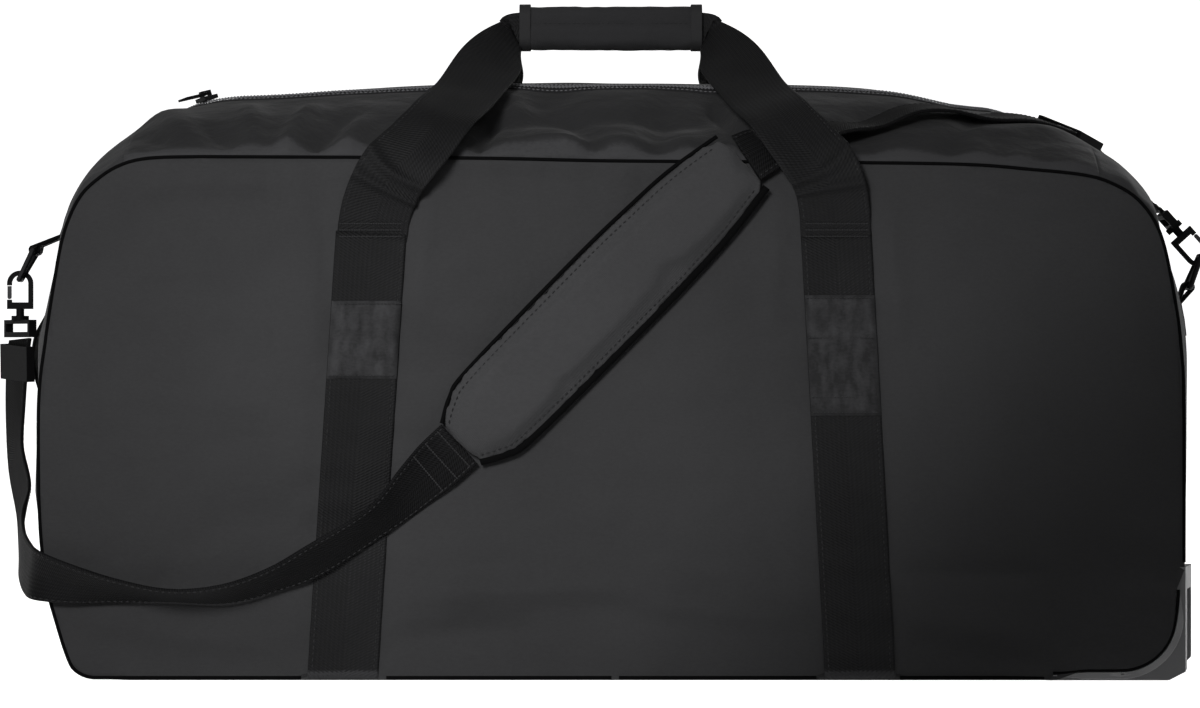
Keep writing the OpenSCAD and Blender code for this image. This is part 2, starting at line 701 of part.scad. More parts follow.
// Slider in local axes: it travels along y and stands on z = 0, with a bail for its pull
module zip_slider() {
    color(metal) translate([0, 0, tape_t + 0.5]) {
        translate([-5, -7, 0]) cube([10, 14, 3]);
        translate([-1.5, -5, 3]) difference() {
            cube([3, 10, 4.4]);
            translate([-1, 2, bail_mid - 4.5]) cube([5, 6, 3]);
        }
    }
}
module zip_pull() {
    color(plastic) translate([0, 0, tape_t + 0.5 + bail_mid]) difference() {
        translate([-5, -24, -0.85]) cube([10, 25.4, 1.7]);
        translate([-2, -5.6, -2]) cube([4, 5.2, 4]);
        translate([0, -18, -2]) cylinder(r = 2.6, h = 4);
    }
}
module zip_slider_side() { at_side_slider() zip_slider(); }
module zip_slider_front() { at_front_slider() zip_slider(); }
module zip_pull_side() { at_side_slider() zip_pull(); }
module zip_pull_front() { at_front_slider() zip_pull(); }

front_panel();
rear_panel();
left_end_panel();
right_end_panel();
base_panel();
base_board();
top_gusset_front();
top_gusset_rear();
lid_panel();
zip_tape_bag();
zip_tape_lid();
piping_front();
piping_rear();
load_strap_left();
load_strap_right();
facing_front_left();
facing_front_right();
facing_rear_left();
facing_rear_right();
front_handle_webbing();
rear_handle_webbing();
handle_grip();
grab_handle();
grab_handle_patches();
wheel_housing_front();
wheel_housing_rear();
housing_screws();
wheel_front_tyre();
wheel_front_hub();
wheel_rear_tyre();
wheel_rear_hub();
axle_front();
axle_rear();
ring_tab_left();
ring_tab_right();
d_ring_left();
d_ring_right();
snap_hook_left();
snap_hook_right();
hook_gate_left();
hook_gate_right();
hook_swivel_left();
hook_swivel_right();
strap_slider_left();
strap_slider_right();
shoulder_strap_left();
shoulder_strap_right();
shoulder_pad();
zip_slider_side();
zip_slider_front();
zip_pull_side();
zip_pull_front();
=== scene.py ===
import math

import bmesh
import bpy
import numpy as np
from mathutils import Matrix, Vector, noise
from mathutils.bvhtree import BVHTree


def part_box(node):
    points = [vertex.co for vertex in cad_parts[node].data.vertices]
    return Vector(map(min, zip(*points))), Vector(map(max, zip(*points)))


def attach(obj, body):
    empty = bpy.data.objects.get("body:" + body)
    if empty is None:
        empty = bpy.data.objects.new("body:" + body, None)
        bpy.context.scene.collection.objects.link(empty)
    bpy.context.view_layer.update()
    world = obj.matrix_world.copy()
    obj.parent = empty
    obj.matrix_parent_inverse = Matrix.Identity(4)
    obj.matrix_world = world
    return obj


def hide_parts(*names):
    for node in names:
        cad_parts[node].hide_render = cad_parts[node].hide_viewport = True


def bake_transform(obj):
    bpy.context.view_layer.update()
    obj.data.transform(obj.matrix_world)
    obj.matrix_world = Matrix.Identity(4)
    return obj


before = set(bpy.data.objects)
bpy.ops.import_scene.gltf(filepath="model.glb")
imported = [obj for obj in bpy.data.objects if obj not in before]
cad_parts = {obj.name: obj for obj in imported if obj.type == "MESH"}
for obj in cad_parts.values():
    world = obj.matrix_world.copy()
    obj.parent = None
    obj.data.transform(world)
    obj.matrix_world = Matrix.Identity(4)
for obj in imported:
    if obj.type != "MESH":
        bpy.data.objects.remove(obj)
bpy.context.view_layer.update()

# Lengths below are in millimetres, in the frame's axes, and meshes are made in metres.
MM = 0.001

# ---- driving sizes, from the frame ----
FACE_Y = -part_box("front_panel")[0].y / MM
FACE_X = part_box("front_panel")[1].x / MM
HALF_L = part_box("right_end_panel")[1].x / MM
CREST_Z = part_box("lid_panel")[1].z / MM
SEAM_Z = CREST_Z - 64
GUARD_LO, GUARD_HI = (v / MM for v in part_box("wheel_housing_front"))
GRIP_LO, GRIP_HI = (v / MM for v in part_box("handle_grip"))

# ---- sizes that the frame does not give ----
SHOULDER_R = 180      # radius of the shoulders at the middle plane
CROWN_R = 3000        # radius of the crest line, end to end
HEEL_R = 45           # radius of the bottom corners at the wheel end
STEP = 5.5            # spacing of the cloth mesh
CLOTH_T = 2.4         # thickness of the body cloth
WEB_T = 2.4           # thickness of the webbing
HAUL_W = 50           # width of the haul webbing
STRAP_W = 38          # width of the shoulder strap
LID_X, LID_Y = (-330, 300), (-70, 110)   # the zipped opening's footprint
LID_R = (LID_Y[1] - LID_Y[0]) / 2        # radius of its round ends
MIDDLE_Y = sum(LID_Y) / 2
END_SEAM_X = 345      # seam between the top gussets and the ends
BASE_X = (-362, 366)  # ends of the base cloth
LOAD_X = {"left": (-190, -170), "right": (176, 159)}    # a load strap's middle at the base and at its tack
TACK_Z = 310          # height of the handles' tacks on the load straps
UPPER_Z = 200         # the seams of the top are above this
FACES = ((-1, "front"), (1, "rear"))     # the face panels' directions along Y


# ---- small geometry helpers ----
def unit(v):
    v = np.asarray(v, float)
    return v / np.linalg.norm(v)


def ease(t):
    t = min(1.0, max(0.0, t))
    return t * t * (3 - 2 * t)


def line(a, b, n):
    return list(np.linspace(np.array(a, float), np.array(b, float), n + 1))


def arc(cx, cz, r, a0, a1, n):
    turn = np.radians(np.linspace(a0, a1, n + 1))
    return list(np.column_stack((cx + r * np.cos(turn), cz + r * np.sin(turn))))


def smooth(points, m):
    """Catmull-Rom run through the points, m steps to a stretch."""
    p = [np.asarray(q, float) for q in points]
    out = []
    for i in range(len(p) - 1):
        a, b, c, d = p[max(i - 1, 0)], p[i], p[i + 1], p[min(i + 2, len(p) - 1)]
        for k in range(m):
            u = k / m
            out.append(0.5 * (2 * b + (c - a) * u + (2 * a - 5 * b + 4 * c - d) * u * u
                              + (3 * b - a - 3 * c + d) * u * u * u))
    return out + [p[-1]]


def distances(points):
    """Distance along a polyline to each of its points."""
    return np.concatenate([[0], np.cumsum(np.linalg.norm(np.diff(points, axis=0), axis=1))])


def resample(points, n):
    """n equal stretches along a polyline."""
    p, at = np.array(points, float), distances(points)
    places = np.linspace(0, at[-1], n + 1)
    return list(np.column_stack([np.interp(places, at, p[:, k]) for k in (0, 1)]))


def wobble(x, y, z, size, seed=0.0):
    """Smooth noise from -1 to 1, with features about size millimetres across."""
    return noise.noise(Vector((x / size + seed, y / size - seed, z / size + 2 * seed)))


def add_object(name, data):
    obj = bpy.data.objects.new(name, data)
    bpy.context.scene.collection.objects.link(obj)
    return obj


def mesh_object(name, verts, faces, material, uvs=None, flat=False):
    """A mesh piece from millimetre points; uvs are millimetres too, one per vertex."""
    mesh = bpy.data.meshes.new(name)
    mesh.from_pydata([tuple(c * MM for c in v) for v in verts], [], faces, shade_flat=flat)
    if uvs is not None:
        layer = mesh.uv_layers.new(name="UVMap")
        for corner in mesh.loops:
            layer.data[corner.index].uv = tuple(c * MM for c in uvs[corner.vertex_index])
    mesh.materials.append(material)
    return add_object(name, mesh)


def sheet_faces(rows, cols):
    """Faces of a sheet of points, laid row by row."""
    m = cols + 1
    return [(j * m + i, j * m + i + 1, (j + 1) * m + i + 1, (j + 1) * m + i) for j in range(rows)
            for i in range(cols)]


def swept_faces(rows, m):
    """Faces of a closed section of m points that is swept along rows places, and its ends."""
    faces = [(i * m + k, i * m + (k + 1) % m, (i + 1) * m + (k + 1) % m, (i + 1) * m + k)
             for i in range(rows - 1) for k in range(m)]
    return faces + [tuple(range(m)), tuple((rows - 1) * m + k for k in range(m))]


def outward(obj, sheet=False):
    """Makes a closed mesh's faces look outwards, or a sheet's top faces look up."""
    bm = bmesh.new()
    bm.from_mesh(obj.data)
    bm.normal_update()
    if not sheet:
        bmesh.ops.recalc_face_normals(bm, faces=bm.faces)
    elif max(bm.faces, key=lambda f: f.calc_center_median().z).normal.z < 0:
        bmesh.ops.reverse_faces(bm, faces=bm.faces)
    bm.to_mesh(obj.data)
    bm.free()
    return obj


def join(parts, name):
    """Mesh objects as one, under a new name."""
    bm = bmesh.new()
    for part in parts:
        bm.from_mesh(part.data)
    bm.to_mesh(parts[0].data)
    bm.free()
    for part in parts[1:]:
        bpy.data.objects.remove(part)
    parts[0].name = name
    return parts[0]


def modifier(obj, kind, **settings):
    m = obj.modifiers.new(kind.title(), kind)
    for key, value in settings.items():
        setattr(m, key, value)
    return m


def thicken(obj, thickness):
    """Gives a sheet its thickness in millimetres, inwards."""
    modifier(obj, "SOLIDIFY", thickness=thickness * MM, offset=-1)


def piece(obj, body, slot, *nodes):
    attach(obj, body)
    if nodes:
        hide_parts(*nodes)


# ---- materials ----
class Nodes:
    """A material's node tree, with short calls for the nodes used here."""

    def __init__(self, name, rough, colour, sheen=0.0, metal=0.0, specular=0.5):
        self.material = bpy.data.materials.new(name)
        self.material.use_nodes = True
        self.tree = self.material.node_tree
        self.shader = self.tree.nodes["Principled BSDF"]
        self.colour = colour
        self.feed(self.shader, {"Base Color": (*colour, 1), "Roughness": rough, "Metallic": metal,
                                "Specular IOR Level": specular, "Sheen Weight": sheen,
                                "Sheen Roughness": 0.4})

    def feed(self, node, inputs):
        """Sets each of a node's inputs to a value, or links it to another node's output."""
        for key, value in inputs.items():
            if isinstance(value, bpy.types.NodeSocket):
                self.tree.links.new(value, node.inputs[key])
            else:
                node.inputs[key].default_value = value

    def make(self, kind, inputs):
        node = self.tree.nodes.new(kind)
        self.feed(node, inputs)
        return node

    def math(self, operation, a, b=0.5):
        node = self.make("ShaderNodeMath", {0: a, 1: b})
        node.operation = operation
        return node.outputs[0]

    def add(self, a, b):
        return self.math("ADD", a, b)

    def times(self, a, b):
        return self.math("MULTIPLY", a, b)

    def coords(self, kind="Object"):
        return self.make("ShaderNodeTexCoord", {}).outputs[kind]

    def axes(self, vector):
        return self.make("ShaderNodeSeparateXYZ", {0: vector}).outputs

    def noise(self, vector, size, detail=2.0, stretch=(1, 1, 1)):
        """Noise with features about size millimetres across."""
        at = self.make("ShaderNodeMapping", {"Vector": vector, "Scale": stretch}).outputs[0]
        inputs = {"Vector": at, "Scale": 1000.0 / size, "Detail": detail}
        return self.make("ShaderNodeTexNoise", inputs).outputs[0]

    def wave(self, axis, pitch, shift=0.0):
        """sin() along one axis, one turn in pitch millimetres."""
        turn = self.times(axis, 2000 * math.pi / pitch)
        return self.math("SINE", self.add(turn, shift) if shift else turn)

    def ramp(self, value, start, stop, low, high):
        """A straight ramp from low to high, while value goes from start to stop."""
        inputs = {"Value": value, "From Min": start, "From Max": stop, "To Min": low, "To Max": high}
        return self.make("ShaderNodeMapRange", inputs).outputs[0]

    def paint(self, factor, low, high, wear_and_highlight=None):
        """Base colour between low and high times the colour, by factor from 0 to 1, and paler beyond 1 for
        painted highlights.
        """
        ramp = self.make("ShaderNodeValToRGB", {0: factor})
        if wear_and_highlight:
            ramp.color_ramp.elements.new(1.0).color = (*(c * wear_and_highlight for c in self.colour), 1)
        for element, share, place in zip(list(ramp.color_ramp.elements), (low, high), (0.3, 0.7)):
            element.position = place
            element.color = (*(c * share for c in self.colour), 1)
        self.feed(self.shader, {"Base Color": ramp.outputs[0]})

    def roughness(self, factor, low, high):
        self.feed(self.shader, {"Roughness": self.ramp(factor, 0, 1, low, high)})

    def bump(self, *layers):
        """Each layer is (height, depth in millimetres, strength)."""
        under = {}
        for height, depth, strength in layers:
            inputs = {"Height": height, "Distance": depth * MM, "Strength": strength}
            under = {"Normal": self.make("ShaderNodeBump", inputs | under).outputs[0]}
        self.feed(self.shader, under)


def cloth_material(name, colour, pitch=1.3, weave=0.22, crumple=0.5, rough=0.82, sheen=0.06, specular=0.2,
                   mottle=0.0, seam_highlight=None):
    """Plain weave in two directions, fine fibre noise and slow shade changes."""
    n = Nodes(name, rough, colour, sheen=sheen, specular=specular)
    at = n.coords()
    x, y, z = n.axes(at)
    drift = n.times(n.noise(at, 9.0), 5.0)
    threads = n.times(n.wave(x, pitch, drift), n.wave(n.add(y, z), pitch, drift))
    fibres = n.noise(at, 1.6, 3.0, (0.5, 1, 1))
    shade = n.add(n.times(n.noise(at, 130.0, 3.0), 0.55), n.times(fibres, 0.45))
    if mottle:
        spots = n.math("SUBTRACT", n.noise(at, 11.0, 3.0, (1.6, 1, 0.7)), 0.5)
        shade = n.add(shade, n.times(spots, mottle))
    if seam_highlight:
        # painted highlight: paler beside the seam, where the cloth rolls over and catches the light
        shade = n.add(shade, n.ramp(n.math("ABSOLUTE", y), 0.187, 0.194, 0.0, 0.55))
    n.paint(shade, 0.82 - 0.3 * mottle, 1.2 + 0.4 * mottle, seam_highlight)
    n.roughness(fibres, rough - 0.06, rough + 0.1)
    n.bump((n.noise(at, 85.0, 2.0, (0.45, 1, 1.2)), 16.0 * crumple, 0.6),
           (n.noise(at, 26.0, 3.0), 2.4, crumple), (fibres, 0.25, 0.35), (threads, 0.18, weave))
    return n.material


def webbing_material(name, colour, pitch=2.1, rough=0.6, painted_shade_left_end=False, wear_and_highlight=False, specular=0.1):
    """Ribbed webbing: ribs across the band, a herringbone twist along it, and fibre fuzz."""
    n = Nodes(name, rough, colour, sheen=0.01, specular=specular)
    across, along, _ = n.axes(n.coords("UV"))
    ribs = n.wave(n.add(along, n.times(n.math("ABSOLUTE", across), 0.55)), pitch)
    weave = n.add(n.times(ribs, 0.6), n.times(n.wave(across, 3.2), 0.4))
    fuzz = n.noise(n.coords(), 1.3, 3.0)
    shade = n.add(n.times(weave, 0.22), n.times(n.noise(n.coords(), 60.0, 3.0), 0.6))
    shade = n.add(shade, n.times(fuzz, 0.35))
    if painted_shade_left_end:
        # painted shade: darker beyond the left end, where the hanging strap lies in shadow
        shade = n.add(shade, n.ramp(n.axes(n.coords())[0], -0.432, -0.396, -0.75, 0.0))
    if wear_and_highlight:
        # painted highlight: paler where it turns under the base, for the floor's light caught there
        shade = n.add(shade, n.ramp(n.axes(n.coords())[2], 0.008, 0.005, 0.0, 0.7))
    n.paint(shade, 0.3 if painted_shade_left_end else 0.75, 1.35, 4.5 if wear_and_highlight else None)
    n.roughness(fuzz, rough - 0.08, rough + 0.14)
    n.bump((weave, 0.4, 0.5), (fuzz, 0.15, 0.3))
    return n.material


def moulded_material(name, colour, rough=0.45, grain=1.1, depth=0.08, specular=0.45):
    """Moulded plastic: fine spark-erosion grain, faint flow shade, high edges paler as rubbed wear and as
    painted highlight, and hollows darker.
    """
    n = Nodes(name, rough, colour, specular=specular)
    at = n.coords()
    pits = n.noise(at, grain, 3.0)
    # by pointiness, sharp edges come out paler, partly rubbed wear and partly painted highlight, and hollows
    # come out darker
    edge_sharpness = n.make("ShaderNodeNewGeometry", {}).outputs["Pointiness"]
    wear_and_highlight = n.times(n.math("SUBTRACT", edge_sharpness, 0.5), 3.0)
    n.paint(n.add(n.add(n.times(n.noise(at, 40.0), 0.7), 0.12), wear_and_highlight), 0.8, 1.7)
    n.roughness(pits, rough - 0.1, rough + 0.12)
    n.bump((pits, depth, 0.5))
    return n.material


def metal_material(name, colour, rough=0.38):
    """Metal with fine drawn scratches and dulled patches."""
    n = Nodes(name, rough, colour, metal=0.85)
    at = n.coords()
    scratches = n.noise(at, 1.0, 2.0, (0.15, 1, 1))
    n.paint(n.noise(at, 12.0), 0.8, 1.25)
    n.roughness(scratches, rough - 0.12, rough + 0.2)
    n.bump((scratches, 0.03, 0.4))
    return n.material


def rubber_material(name, colour):
    n = Nodes(name, 0.7, colour, specular=0.35)
    at = n.coords()
    dust = n.noise(at, 14.0, 4.0)
    n.paint(dust, 0.8, 1.8)
    n.roughness(dust, 0.55, 0.85)
    n.bump((n.noise(at, 0.9, 3.0), 0.12, 0.5), (n.wave(n.axes(at)[1], 5.2), 0.3, 0.25))
    return n.material


BODY = cloth_material("body_cloth", (0.037, 0.037, 0.0385), crumple=0.9)
TOP = cloth_material("top_cloth", (0.0205, 0.0205, 0.0215), crumple=1.2, seam_highlight=2.3)
BASE = cloth_material("base_cloth", (0.024, 0.024, 0.025), pitch=2.2, weave=0.5)
FACING = cloth_material("facing_cloth", (0.029, 0.029, 0.0305), pitch=1.1, crumple=1.6, mottle=0.9)
GRIP = cloth_material("grip_cloth", (0.024, 0.024, 0.0255), pitch=1.4, weave=0.35, crumple=0.6)
PAD = cloth_material("pad_cloth", (0.049, 0.049, 0.051), pitch=1.5, weave=0.4, crumple=0.35)
# near-black: the real piping cord, also used as painted shadow for the pad's binding and the guard's groove
PIPING_AND_SHADOW = cloth_material("piping_cloth", (0.0035, 0.0035, 0.0037), pitch=1.0, crumple=0.1, rough=0.9,
                        sheen=0.0, specular=0.04)
BINDING = cloth_material("binding_cloth", (0.02, 0.02, 0.021), pitch=1.0, crumple=0.1, rough=0.7)
WEB = webbing_material("haul_webbing", (0.0092, 0.0092, 0.0097), wear_and_highlight=True)
STRAP = webbing_material("strap_webbing", (0.009, 0.009, 0.0095), pitch=1.8, painted_shade_left_end=True, specular=0.05)
TAPE = webbing_material("zip_tape_weave", (0.018, 0.018, 0.019), pitch=1.2)
THREAD = cloth_material("thread", (0.017, 0.017, 0.018), pitch=0.6, crumple=0.05, rough=0.6)
COIL = moulded_material("zip_coil", (0.085, 0.085, 0.09), 0.35, 0.6, 0.03)
MOULDING = moulded_material("guard_plastic", (0.13, 0.13, 0.133), 0.45, 1.4, 0.12, specular=0.25)
# the guard rim's pale colour is a painted highlight, for the floor's light on its glossy edge
RIM_HIGHLIGHT = moulded_material("guard_rim", (0.22, 0.22, 0.224), 0.35, 1.4, 0.05)
HARDWARE = moulded_material("black_acetal", (0.0028, 0.0028, 0.003), 0.5, specular=0.04)
HUB = moulded_material("hub_plastic", (0.045, 0.045, 0.047), 0.3)
BOARD = moulded_material("stiff_board", (0.05, 0.05, 0.053), 0.7, 2.5, 0.2)
STEEL = metal_material("zinc_steel", (0.45, 0.45, 0.46), 0.3)
RING = metal_material("black_wire", (0.012, 0.012, 0.013), 0.5)
ZIP_METAL = metal_material("black_zip_metal", (0.02, 0.02, 0.021), 0.45)
TYRE = rubber_material("tyre_rubber", (0.02, 0.02, 0.0205))


# ---- the body's outlines: front edge and middle plane, point for point ----
LEFT_SIDE = [(-FACE_X, 130), (-FACE_X, 198), (-400, 240), (-394, 280), (-387, 316), (-376, 341), (-362, 355),
             (-346, 364.5), (-326, 369), (-290, 370)]
TOP_SEAM = [(-290, 370), (-100, 369), (0, 367), (150, 366), (250, 364.5), (296, 361)]
RIGHT_SIDE = [(296, 361), (331, 357.5), (352, 352), (373, 339), (388.5, 314.5), (398.5, 268.7), (403, 233),
              (FACE_X, 190), (FACE_X, HEEL_R)]
CROWN_Z = CREST_Z - CROWN_R          # centre of the crest's arc
MID_X = HALF_L - SHOULDER_R          # centre of a shoulder's arc
MID_Z = CROWN_Z + math.sqrt((CROWN_R - SHOULDER_R) ** 2 - MID_X ** 2)


def seam_z(x):
    """Height of the seam between a face panel and the top, over x."""
    top = LEFT_SIDE[-6:] + TOP_SEAM[1:] + RIGHT_SIDE[1:5]
    return float(np.interp(x, [q[0] for q in top], [q[1] for q in top]))


def outlines():
    """The face panel's edge and the silhouette of the middle plane, as matched lists of (x, z), clockwise
    from the middle of the base round the left end."""
    lean = math.degrees(math.atan(MID_X / (MID_Z - CROWN_Z)))
    heel_face = [(-340, 0), (-366, 1.5), (-379, 7), (-385, 18), (-392, 40), (-399, 66), (-403, 98),
                 (-FACE_X, 130)]
    heel_mid = [(-345, 0), (-371, 1.5), (-384, 7), (-392, 18), (-402, 42), (-413, 72), (-421, 104),
                (-HALF_L, 130)]
    crown = [(x, CROWN_Z + math.sqrt(CROWN_R ** 2 - x * x) - 3 - 8 * ease((x - 190) / 70))
             for x in np.linspace(-MID_X + 4, MID_X - 4, 61)]
    left_mid = [(-HALF_L, 130)] + [(x + 6 * ease((z - 225) / 45) * ease((335 - z) / 50), z)
                                   for x, z in arc(-MID_X, MID_Z - 3, SHOULDER_R, 180, 90 + lean, 24)]
    right_mid = arc(MID_X, MID_Z - 11, SHOULDER_R, 90 - lean, 0, 24) + [(HALF_L, HEEL_R)]
    n = lambda length: max(2, round(length / STEP))
    stretches = [
        (line((0, 0), heel_face[0], n(340)), line((0, 0), heel_mid[0], n(340))),
        (smooth(heel_face, 4), smooth(heel_mid, 4)),
        (resample(smooth(LEFT_SIDE, 6), n(370)), resample(left_mid, n(370))),
        (resample(smooth(TOP_SEAM, 6), n(590)), resample([left_mid[-1]] + crown + [right_mid[0]], n(590))),
        (resample(smooth(RIGHT_SIDE, 6), n(440)), resample(right_mid, n(440))),
        (arc(FACE_X - HEEL_R, HEEL_R, HEEL_R, 0, -90, 12), arc(HALF_L - HEEL_R, HEEL_R, HEEL_R, 0, -90, 12)),
        (line((FACE_X - HEEL_R, 0), (0, 0), n(370)), line((HALF_L - HEEL_R, 0), (0, 0), n(370))),
    ]
    return (np.array([p for s in stretches for p in s[k][:-1]]) for k in (0, 1))


FACE, MID = outlines()


# ---- folds and puckers of the cloth ----
# Each fold of a face panel: from, to (x, z), half width, height outwards
FACE_FOLDS = [
    ((-140, 62), (60, 70), 11, 6), ((20, 54), (140, 46), 9, 5), ((-150, 30), (-60, 38), 8, -4),
    ((200, 78), (300, 74), 7, 4.5), ((215, 42), (300, 30), 12, -3.5), ((-370, 44), (-240, 26), 10, 4.5),
    ((-392, 240), (-350, 130), 16, 2.4), ((360, 300), (392, 190), 15, 2.6), ((-120, 354), (60, 350), 8, -2.4),
    ((-205, 345), (-196, 230), 7, -2.4), ((-128, 345), (-140, 250), 8, 2.2), ((118, 345), (112, 250), 7, 2.0),
    ((192, 350), (204, 250), 8, 2.4), ((240, 350), (330, 334), 9, 4), ((-330, 350), (-240, 353), 8, 3.6),
    ((-330, 300), (-290, 348), 12, 1.8), ((-300, 96), (-220, 128), 14, -1.8),
    ((230, 120), (250, 230), 18, -1.6),
]
# Each fold of the top: from, to (x, y), half width, height outwards
TOP_FOLDS = [
    ((-232, -196), (-214, -120), 8, 7), ((-212, -196), (-188, -140), 6, -5),
    ((-250, -190), (-262, -110), 9, 5), ((-268, -196), (-292, -150), 7, -4),
    ((-150, -195), (-120, -120), 10, -6), ((-40, -190), (-86, -96), 16, 6), ((-10, -196), (-34, -130), 9, -5),
    ((30, -196), (44, -96), 14, -7), ((86, -192), (110, -110), 10, 6), ((-300, -185), (-330, -60), 14, 5),
    ((206, -180), (330, -120), 12, 4), ((-120, -150), (60, -140), 16, -5), ((240, -190), (262, -120), 9, -4),
    ((-76, -186), (64, -178), 7, 4), ((-95, -194), (-74, -108), 6, -8), ((95, -194), (74, -108), 6, -8),
    ((-62, -170), (-40, -90), 20, -8), ((60, -165), (74, -90), 18, -9), ((150, -188), (200, -120), 16, -7),
    ((-190, -196), (-176, -150), 8, 6), ((-340, -150), (-300, -196), 10, -4),
]


def ridge(p, fold):
    """Height of one fold at the point p of its plane."""
    (ax, az), (bx, bz), width, height = fold
    length = math.hypot(bx - ax, bz - az)
    ux, uz = (bx - ax) / length, (bz - az) / length
    along = (p[0] - ax) * ux + (p[1] - az) * uz
    off = (p[0] - ax) * -uz + (p[1] - az) * ux
    if along < -2 * width or along > length + 2 * width or abs(off) > 3 * width:
        return 0.0
    fade = ease((along + 2 * width) / (4 * width)) * ease((length + 2 * width - along) / (4 * width))
    return height * fade * math.exp(-(off / width) ** 2)


def strap_x(side, z):
    """Middle of a load strap on a face panel at height z."""
    foot, head = LOAD_X[side]
    return foot + (head - foot) * z / TACK_Z


def face_bulge(x, z):
    """How far a face panel stands out from its plane at (x, z)."""
    top_z = seam_z(x)
    inside = (1 - min(1, abs(x / FACE_X)) ** 5) * (1 - min(1, abs((z - top_z / 2) / (top_z / 2))) ** 4)
    out = 4.2 * inside + 1.3 * wobble(x, 0, z, 120, 3) + 0.7 * wobble(x, 9, z, 45, 5)
    out += sum(ridge((x, z), fold) for fold in FACE_FOLDS)
    # gathers where the panel is sewn to the top seam and to the load straps
    top = math.exp(-max(0.0, top_z - z) / 16)
    out += 0.9 * top * math.sin(x / 5.2 + 3 * wobble(x, 0, 0, 60, 8))
    # the cloth runs on over the wheel housing and stops at its lip
    if x > GUARD_LO.x - 30 and z < GUARD_HI.z + 30:
        over = ease((x - GUARD_LO.x + 25) / 40) * ease((GUARD_HI.z + 25 - z) / 40)
        out = max(out * (1 - 0.8 * over) + 4.3 * over, 3.4 * over)
        return out * ease(min(FACE_X - abs(x) + 9, 14) / 14)
    if z < TACK_Z + 10:
        for side in LOAD_X:
            gap = max(0.0, abs(x - strap_x(side, z)) - HAUL_W / 2)
            out -= 1.5 * math.exp(-(gap / 9) ** 2)
            out += 0.6 * math.exp(-gap / 12) * math.sin(z / 4.6 + 2 * wobble(x, 0, z, 50, 2))
    return out * ease(min(z, top_z - z + 6, FACE_X - abs(x) + 6) / 14)


def ring_bulge(p, edge, at):
    """How far the cloth between the face panels stands out at p; edge is the distance to the nearest
    face seam, and at is the distance along that seam."""
    x, y, z = p
    if z < 3 and abs(x) < HALF_L - HEEL_R:
        # channels for the load straps
        return -2.7 * max(1 - ease((abs(x - foot) - HAUL_W / 2) / 8) for foot, _ in LOAD_X.values())
    out = 2.0 * wobble(x, y, z, 130, 1) + 1.1 * wobble(x, y, z, 55, 4)
    out += 1.9 * math.exp(-edge / 22) * math.sin(at / 6.3 + 3.2 * wobble(at, 0, 0, 70, 6))
    if z > 330:
        out += sum(ridge((x, -abs(y)), fold) for fold in TOP_FOLDS) * (1 if y < 0 else 0.8)
    # the top rolls over before it dips to the seam
    return (out * ease(edge / 10) + 3.0 * ease(edge / 7) * ease((z - 300) / 40)) * ease(z / 30)


# ---- cloth shells of the body ----
def cut_along(bm, value):
    """Adds edges where value(co) changes sign."""
    at = {v: value(v.co) for v in bm.verts}
    fresh = []
    for e in list(bm.edges):
        a, b = e.verts
        if at[a] * at[b] < 0:
            v = bmesh.utils.edge_split(e, a, at[a] / (at[a] - at[b]))[1]
            at[v] = 0.0
            fresh.append(v)
    bmesh.ops.connect_verts(bm, verts=fresh)


def ring_mesh():
    """The skin between the face panels, as one bmesh in millimetres, with its folds."""
    rows, count = 2 * round(FACE_Y / STEP), len(FACE)
    along = distances(FACE)
    bm = bmesh.new()
    grid = []
    for j in range(rows + 1):
        v = -1 + 2 * j / rows
        section = FACE + (MID - FACE) * ((1 + math.cos(math.pi * v)) / 2, 1 - abs(v) ** 2.2)
        grid.append([bm.verts.new((x, v * FACE_Y, z)) for x, z in section])
    for j in range(rows):
        for i in range(count):
            k = (i + 1) % count
            bm.faces.new((grid[j][i], grid[j][k], grid[j + 1][k], grid[j + 1][i]))
    bm.normal_update()
    moves = [(v, v.normal * ring_bulge(v.co, FACE_Y - abs(v.co.y), at)) for row in grid
             for v, at in zip(row, along)]
    for v, move in moves:
        v.co += move
    bm.normal_update()
    return bm


def shell(source, name, keep, material):
    """The faces of source whose middles pass keep(), as an object that is thickened inwards."""
    bm = source.copy()
    bmesh.ops.delete(bm, geom=[f for f in bm.faces if not keep(f.calc_center_median())], context="FACES")
    bmesh.ops.delete(bm, geom=[v for v in bm.verts if not v.link_faces], context="VERTS")
    bmesh.ops.scale(bm, vec=(MM, MM, MM), verts=bm.verts)
    mesh = bpy.data.meshes.new(name)
    bm.to_mesh(mesh)
    bm.free()
    mesh.shade_smooth()
    mesh.materials.append(material)
    obj = add_object(name, mesh)
    thicken(obj, CLOTH_T)
    return obj


def stadium(x, y):
    """Signed distance from the zipped opening's outline, in plan."""
    cx = min(max(x, LID_X[0] + LID_R), LID_X[1] - LID_R)
    return math.hypot(x - cx, y - MIDDLE_Y) - LID_R


def in_guard(x, y, z):
    """Whether a point is inside the space of either wheel housing."""
    return x > GUARD_LO.x and abs(y) > -GUARD_HI.y and z < GUARD_HI.z


def on_lid(c):
    return c.z > UPPER_Z and stadium(c.x, c.y) < 0


def on_gusset(c):
    return c.z > UPPER_Z and abs(c.x) < END_SEAM_X and not on_lid(c)


def on_base(c):
    return c.z < 4 and BASE_X[0] < c.x < BASE_X[1]


def on_end(c):
    return not (on_lid(c) or on_gusset(c) or on_base(c) or in_guard(*c))


